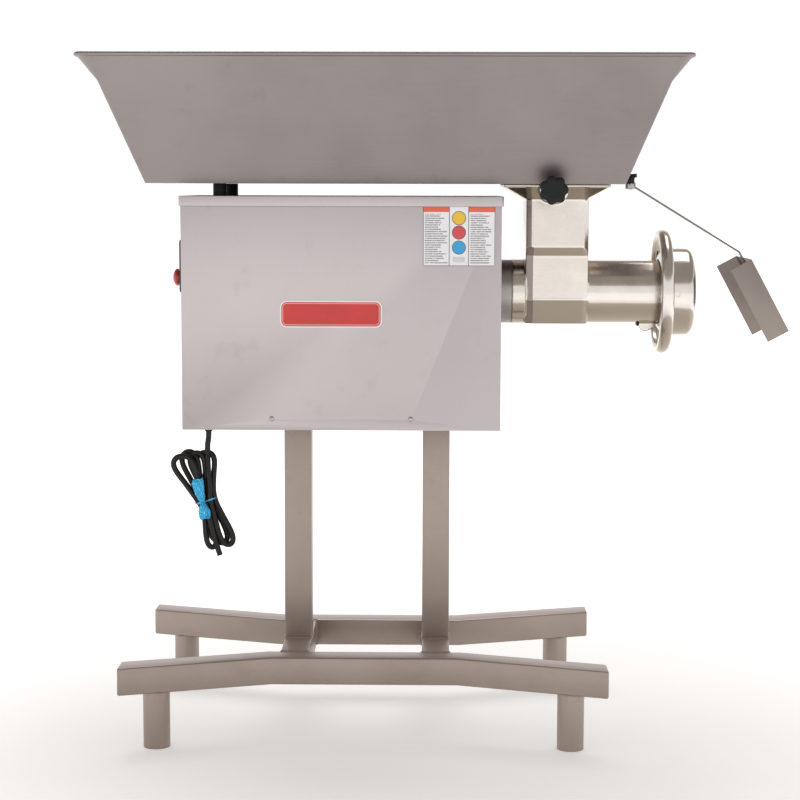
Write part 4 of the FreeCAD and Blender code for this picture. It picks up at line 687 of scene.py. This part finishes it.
def makeRing(s):
    middle = s["rimStart"] + s["rimTube"] * s["rimStretch"]
    rim = [(middle + (x - middle) * s["rimStretch"], r)
           for x, r in arcPoints((middle, s["rimRadius"]), s["rimTube"], 232, -52, 22)]
    profile = [(s["start"], s["bore"]), (s["start"], 0.0672), (s["start"] + 0.0015, 0.0700), (0.3030, 0.0745),
               (0.3042, 0.0830), (0.3040, 0.0920), (0.3022, 0.0985)]
    profile += rim
    profile += [(0.3118, 0.0960), (0.3106, 0.0900), (0.3110, 0.0850), (0.3128, 0.0822), (0.3160, 0.0812),
                (0.3195, s["cup"]), (0.3330, s["cup"] + 0.0003)]
    cupCorner = (s["cupEnd"] - s["round"], s["cup"] - s["round"])
    profile += [(x, r) for x, r in arcPoints(cupCorner, s["round"], 90, 0, 12)]
    profile += [(s["cupEnd"], s["lip"] + 0.003), (s["cupEnd"] - 0.001, s["lip"] + 0.001),
                (s["cupEnd"] - 0.003, s["lip"]), (s["lipStart"], s["lip"]), (s["lipStart"], s["bore"])]
    ring = lathe("ringNut", profile, "ring_nut", (faceX, 0, axisZ), "X", 144)
    cutters = []
    for i in range(s["slots"]):
        a = 2 * math.pi * i / s["slots"]
        centre = (faceX + s["slotX"], -s["slotReach"] * math.sin(a), axisZ + s["slotReach"] * math.cos(a))
        cutters.append(rodCutter(s["slotRadius"], 0.03, centre, "X", (1, s["slotLong"], 1), a))
    cutters.append(rodCutter(s["holeRadius"], 0.008, (faceX + s["holeX"], -s["cup"], axisZ - 0.001), "Y"))
    carve(ring, cutters)
    return ring


makeRing(ringSettings)
lathe("hubRing", [(0.0005, 0.0345), (0.0005, 0.0583), (0.0012, 0.0592), (0.0228, 0.0592), (0.0235, 0.0585),
                  (0.0235, 0.0345)], "hub_ring", (faceX, 0, axisZ))
print("ring nut turned")

# clamp knob: seven soft lobes and a flat face
knobSettings = {"centre": (faceX + 0.091, -0.163, axisZ + 0.1887), "lobes": 7, "radius": 0.0250,
                "lobe": 0.0020, "turn": -14,
                "sections": [(0.000, 0.50), (0.000, 0.62), (0.0015, 0.66), (0.004, 0.70), (0.0065, 0.90),
                             (0.009, 0.98), (0.012, 1.0), (0.021, 1.0), (0.0238, 0.985),
                             (0.0253, 0.95), (0.026, 0.90),
                             (0.0258, 0.60), (0.0255, 0.20)]}


def makeKnob(s):
    form = bmesh.new()
    rings = []
    steps = 112
    for depth, scale in s["sections"]:
        ring = []
        for i in range(steps):
            a = 2 * math.pi * i / steps
            wave = math.cos(s["lobes"] * (a - math.radians(s["turn"])))
            reach = (s["radius"] + s["lobe"] * (wave - 0.25 * wave * wave)) * scale
            ring.append(form.verts.new(Vector(s["centre"]) + Vector((reach * math.sin(a), -depth,
                                                                       reach * math.cos(a)))))
        rings.append(ring)
    for low, high in zip(rings, rings[1:]):
        for i in range(steps):
            k = (i + 1) % steps
            form.faces.new((low[i], low[k], high[k], high[i]))
    form.faces.new(rings[0])
    form.faces.new(rings[-1])
    bmesh.ops.recalc_face_normals(form, faces=form.faces)
    mesh = bpy.data.meshes.new("clampKnob")
    form.to_mesh(mesh)
    form.free()
    shadeByAngle(mesh, 40)
    return addPiece("clampKnob", mesh, "clamp_knob")


makeKnob(knobSettings)

# guard's clip: notched black block on the pan, with a nut under it and a cross pin
clipSettings = {"pivot": (0.3546, 0.0, 1.011), "half": 0.0125,
                "outline": [(-0.0020, 0.0195), (0.0100, 0.0205), (0.0103, 0.0135), (0.0060, 0.0125),
                            (0.0058, 0.0090), (0.0045, 0.0020), (-0.0085, 0.0020), (-0.0085, 0.0045)],
                "nutRadius": 0.0086, "nutHigh": 0.0018, "nutLow": -0.0085,
                "pinRadius": 0.0026, "pinReach": 0.0165}


def makeClip(s):
    px, _, pz = s["pivot"]
    form = bmesh.new()
    sides = [[form.verts.new((px + x, y, pz + z)) for x, z in s["outline"]] for y in (-s["half"], s["half"])]
    form.faces.new(sides[0])
    form.faces.new(sides[1])
    count = len(s["outline"])
    for i in range(count):
        k = (i + 1) % count
        form.faces.new((sides[0][i], sides[0][k], sides[1][k], sides[1][i]))
    bmesh.ops.recalc_face_normals(form, faces=form.faces)
    mesh = bpy.data.meshes.new("clipBlock")
    form.to_mesh(mesh)
    form.free()
    clip = addPiece("clipBlock", mesh, "guard_bracket")
    bevel = clip.modifiers.new("edges", "BEVEL")
    bevel.width, bevel.segments = 0.0007, 2
    settle(clip)
    shadeByAngle(clip.data, 35)
    high, low, size = s["nutHigh"], s["nutLow"], s["nutRadius"]
    profile = [(high, 0.003), (high, size * 0.86), (high - 0.0012, size), (low + 0.0012, size),
               (low, size * 0.86), (low, 0.003)]
    nut = lathe("clipNut", profile, "guard_bolt", (px - 0.0015, -0.004, pz), "Z", 6)
    shadeByAngle(nut.data, 20)
    reach = s["pinReach"]
    pinProfile = [(-reach, 0.0005), (-reach, s["pinRadius"] * 0.8), (-reach + 0.0006, s["pinRadius"]),
                  (reach - 0.0006, s["pinRadius"]), (reach, s["pinRadius"] * 0.8), (reach, 0.0005)]
    lathe("clipPin", pinProfile, "guard_bolt", s["pivot"], "Y", 32, closed=False)


makeClip(clipSettings)

# small dark pin beside the lug under the barrel
pinSettings = {"place": (faceX + 0.2605, 0, axisZ - 0.0612), "radius": 0.0026, "near": -0.0135, "far": 0.0135}


def makeLugPin(s):
    near, far, radius = s["near"], s["far"], s["radius"]
    profile = [(near, 0.0006), (near, radius * 0.75), (near + 0.0008, radius), (far - 0.0008, radius),
               (far, radius * 0.75), (far, 0.0006)]
    return lathe("lugPin", profile, "grinding_head", s["place"], "Y", 28, slot="black_plastic", replace=False,
                 closed=False)


makeLugPin(pinSettings)

# front and back screws with domed heads and round sockets
screwSettings = {"reach": 0.1255, "face": 0.165, "height": 0.5885, "head": 0.0046, "dome": 0.0021}
screws = []
for side in (-1, 1):
    for out in (-1, 1):
        s = screwSettings
        face = out * s["face"]
        profile = [(face - out * 0.004, 0.0024), (face, 0.0024), (face, s["head"]),
                   (face + out * 0.0007, s["head"]),
                   (face + out * 0.0015, s["head"] * 0.86), (face + out * s["dome"], s["head"] * 0.55),
                   (face + out * s["dome"], 0.0016), (face + out * 0.0006, 0.0015)]
        screws.append(lathe(f"panelScrew.{len(screws)}", profile, "panel_screws",
                            (cabinetX + s["reach"] * side, 0, s["height"]), "Y", 32, closed=False))
print("knob and screws made")

# pressed hoods over the back panel's slots
louvreSettings = {"length": 0.096, "out": 0.0045, "rows": 9, "first": 0.568 + 0.120, "pitch": 0.018}


def makeLouvres(s):
    form = bmesh.new()
    for side in (-1, 1):
        middle = cabinetX + s["length"] * 0.8 * side
        for row in range(s["rows"]):
            low = s["first"] + row * s["pitch"]
            strips = []
            for height, out in ((0.0085, 0.0), (0.0072, 0.55), (0.0045, 0.92), (0.0010, 1.0), (0.0004, 0.85),
                                (0.0040, 0.78), (0.0064, 0.42), (0.0075, -0.1)):
                strips.append([form.verts.new((middle + sx * s["length"] / 2 * (0.985 if out > 0.5 else 1.0),
                                               0.165 + out * s["out"], low + height)) for sx in (-1, 1)])
            for lower, upper in zip(strips, strips[1:] + strips[:1]):
                form.faces.new((lower[0], lower[1], upper[1], upper[0]))
            form.faces.new([p[0] for p in strips])
            form.faces.new([p[1] for p in strips])
    bmesh.ops.recalc_face_normals(form, faces=form.faces)
    mesh = bpy.data.meshes.new("louvreHoods")
    form.to_mesh(mesh)
    form.free()
    shadeByAngle(mesh, 50)
    return addPiece("louvreHoods", mesh, "rear_panel", replace=False)


makeLouvres(louvreSettings)


# weld beads: rippled seams where tubes meet
def weldSeam(name, corners, radius, node, closed=False, ripple=0.22):
    points = []
    loop = corners + corners[:1] if closed else corners
    for start, stop in zip(loop, loop[1:]):
        start, stop = Vector(start), Vector(stop)
        count = max(2, int((stop - start).length / 0.0011))
        points += [start.lerp(stop, i / count) for i in range(count)]
    if not closed:
        points.append(Vector(corners[-1]))
    form = bmesh.new()
    rings = []
    last = len(points) - 1
    for i, point in enumerate(points):
        ahead = (points[(i + 1) % len(points)] - points[i - 1]) if closed or 0 < i < last else (
            points[1] - points[0] if i == 0 else points[-1] - points[-2])
        ahead.normalize()
        side = ahead.cross(Vector((0.31, 0.53, 0.79)))
        side.normalize()
        lift = ahead.cross(side)
        size = radius * (1 + ripple * math.sin(i * 2 * math.pi / 3.4) + 0.10 * math.sin(i * 0.37))
        rings.append([form.verts.new(point + (side * math.cos(a) + lift * math.sin(a)) * size)
                      for a in (2 * math.pi * k / 8 for k in range(8))])
    pairs = list(zip(rings, rings[1:]))
    if closed:
        pairs.append((rings[-1], rings[0]))
    for low, high in pairs:
        for k in range(8):
            form.faces.new((low[k], low[(k + 1) % 8], high[(k + 1) % 8], high[k]))
    if not closed:
        form.faces.new(rings[0])
        form.faces.new(rings[-1])
    bmesh.ops.recalc_face_normals(form, faces=form.faces)
    mesh = bpy.data.meshes.new(name)
    form.to_mesh(mesh)
    form.free()
    shadeByAngle(mesh, 60)
    return addPiece(name, mesh, node, replace=False)


weldSettings = {"radius": 0.0019, "tube": 0.0254, "low": 0.103, "top": 0.1538, "uprightX": 0.130,
                "crossY": 0.1351, "footX": 0.373, "footY": 0.22868, "footRing": 0.0245}


def makeWelds(s):
    h = s["tube"]
    for side in (-1, 1):
        x = standX + s["uprightX"] * side
        ring = [(x - h, -h, s["top"]), (x + h, -h, s["top"]), (x + h, h, s["top"]), (x - h, h, s["top"])]
        weldSeam(f"uprightSeam.{side}", ring, s["radius"], "left_upright", True)
        for along in (-1, 1):
            y = s["crossY"] * along
            seam = [(x - h, y, s["low"]), (x - h, y, s["top"]), (x + h, y, s["top"]), (x + h, y, s["low"])]
            weldSeam(f"crossSeam.{side}.{along}", seam, s["radius"], "front_bar")
            foot = [(standX + s["footX"] * side + s["footRing"] * math.cos(a),
                     s["footY"] * along + s["footRing"] * math.sin(a), s["low"])
                    for a in (2 * math.pi * i / 28 for i in range(28))]
            weldSeam(f"footSeam.{side}.{along}", foot, s["radius"] * 0.8, "feet", True)


makeWelds(weldSettings)
print("welds laid")

# cord: finish, film tie, and attachment to the machine's body
cord.data.materials.append(finishes["cord_rubber"])
tieSettings = {
    # height along the film, then middle x, middle y, half width, half depth
    "film": [(0.4590, -0.4535, -0.0385, 0.0098, 0.0030), (0.4540, -0.4530, -0.0390, 0.0104, 0.0042),
             (0.4440, -0.4512, -0.0395, 0.0098, 0.0048), (0.4330, -0.4490, -0.0395, 0.0084, 0.0048),
             (0.4240, -0.4468, -0.0390, 0.0062, 0.0042), (0.4165, -0.4448, -0.0388, 0.0036, 0.0036),
             (0.4120, -0.4438, -0.0388, 0.0040, 0.0036), (0.4050, -0.4425, -0.0392, 0.0080, 0.0048),
             (0.3970, -0.4412, -0.0395, 0.0106, 0.0056), (0.3890, -0.4398, -0.0392, 0.0104, 0.0050),
             (0.3840, -0.4388, -0.0388, 0.0082, 0.0034)],
    "crease": 0.0013, "around": 40, "bandHalf": (0.0205, 0.0148), "bandMiddle": (-0.4395, -0.0225, 0.4165)}


def makeTie(s):
    random.seed(7)
    form = bmesh.new()
    fine = []
    for (z0, *a), (z1, *b) in zip(s["film"], s["film"][1:]):
        for i in range(4):
            t = i / 4
            fine.append([z0 + (z1 - z0) * t] + [p + (q - p) * t for p, q in zip(a, b)])
    fine.append(list(s["film"][-1]))
    phases = [random.uniform(0, 6.28) for _ in range(6)]
    rings = []
    for row, (z, x, y, half, depth) in enumerate(fine):
        ring = []
        for k in range(s["around"]):
            a = 2 * math.pi * k / s["around"]
            crease = (math.sin(5 * a + phases[0] + row * 0.35) + math.sin(9 * a + phases[1] - row * 0.8)
                      + 0.8 * math.sin(14 * a + phases[2] + row * 1.7)) * s["crease"] * 0.4
            jitter = random.uniform(-1, 1) * s["crease"] * 0.30
            ring.append(form.verts.new((x + (half + crease + jitter) * math.cos(a),
                                        y + (depth + crease) * math.sin(a),
                                        z + math.sin(3 * a + phases[3]) * 0.0008
                                        + half * 0.22 * math.cos(a))))
        rings.append(ring)
    for low, high in zip(rings, rings[1:]):
        for k in range(s["around"]):
            j = (k + 1) % s["around"]
            form.faces.new((low[k], low[j], high[j], high[k]))
    form.faces.new(rings[0])
    form.faces.new(rings[-1])
    bands = []
    centre = Vector(s["bandMiddle"])
    for k in range(48):
        a = 2 * math.pi * k / 48
        out = Vector((math.cos(a) * s["bandHalf"][0], math.sin(a) * s["bandHalf"][1], math.cos(a) * 0.0065))
        outward = Vector((math.cos(a), math.sin(a), 0))
        loop = []
        for m in range(8):
            b = 2 * math.pi * m / 8
            size = 0.0010 + 0.0003 * math.sin(7 * a + m)
            loop.append(form.verts.new(centre + out + outward * math.cos(b) * size
                                       + Vector((0, 0, math.sin(b) * (0.0015 + 0.0005 * math.sin(5 * a))))))
        bands.append(loop)
    for low, high in zip(bands, bands[1:] + bands[:1]):
        for m in range(8):
            form.faces.new((low[m], low[(m + 1) % 8], high[(m + 1) % 8], high[m]))
    bmesh.ops.recalc_face_normals(form, faces=form.faces)
    mesh = bpy.data.meshes.new("filmTie")
    form.to_mesh(mesh)
    form.free()
    shadeByAngle(mesh, 28)
    return addPiece("filmTie", mesh, "cord_tie")


tie = makeTie(tieSettings)
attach(cord, "machine")
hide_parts("cord_tube", "cord_hank")

# floor, light and surroundings
studioSettings = {"floor": (0.80, 0.795, 0.79), "horizon": (1.0, 1.0, 1.0), "ceiling": (0.345, 0.305, 0.275),
                  "bright": 1.04, "fadeFrom": 0.36, "fadeTo": 0.44, "glow": (0.36, 0.90),
                  "glowReach": (0.45, 2.2),
                  "lampPlace": (0.0, 1.6, 4.6), "lampAim": (0.0, 0.6, 0.0), "lampSize": (4.0, 3.0),
                  "lampPower": 90.0}


def makeStudio(s):
    bpy.context.scene.view_settings.view_transform = "Standard"
    mesh = bpy.data.meshes.new("floor")
    form = bmesh.new()
    bmesh.ops.create_grid(form, x_segments=1, y_segments=1, size=40)
    form.to_mesh(mesh)
    form.free()
    floor = bpy.data.objects.new("floor", mesh)
    bpy.context.scene.collection.objects.link(floor)
    f = newFinish("paleFloor")
    speck = f.noise(f.place(), 3.0, 3.0, 0.5)
    colour = f.mix(speck, tuple(c * 0.985 for c in s["floor"]), s["floor"])
    x, y, z = f.axes(f.place())
    spread = f.band((x * x + y * y) ** 0.5, *s["glowReach"])
    glow = f.mix(spread, (s["glow"][0],) * 3, (s["glow"][1],) * 3)
    mesh.materials.append(f.surface(Base_Color=colour, Roughness=0.75, Metallic=0.0, Emission_Color=glow,
                                    Emission_Strength=1.0))
    world = bpy.data.worlds.new("studio")
    bpy.context.scene.world = world
    w = Finish(world)
    x, y, z = w.axes(w.node("TexCoord", out=0))
    shade = w.mix(w.band(z, s["fadeFrom"], s["fadeTo"]), s["horizon"], s["ceiling"])
    sky = w.node("Background", None, {"Color": shade, "Strength": s["bright"]})
    w.node("OutputWorld", None, {"Surface": sky})
    lamp = bpy.data.lights.new("overheadLight", "AREA")
    lamp.shape, lamp.energy = "RECTANGLE", s["lampPower"]
    lamp.size, lamp.size_y = s["lampSize"]
    holder = bpy.data.objects.new("overheadLight", lamp)
    holder.location = s["lampPlace"]
    aim = Vector(s["lampAim"]) - Vector(s["lampPlace"])
    holder.rotation_euler = aim.to_track_quat("-Z", "Y").to_euler()
    bpy.context.scene.collection.objects.link(holder)


makeStudio(studioSettings)
print("studio lit")
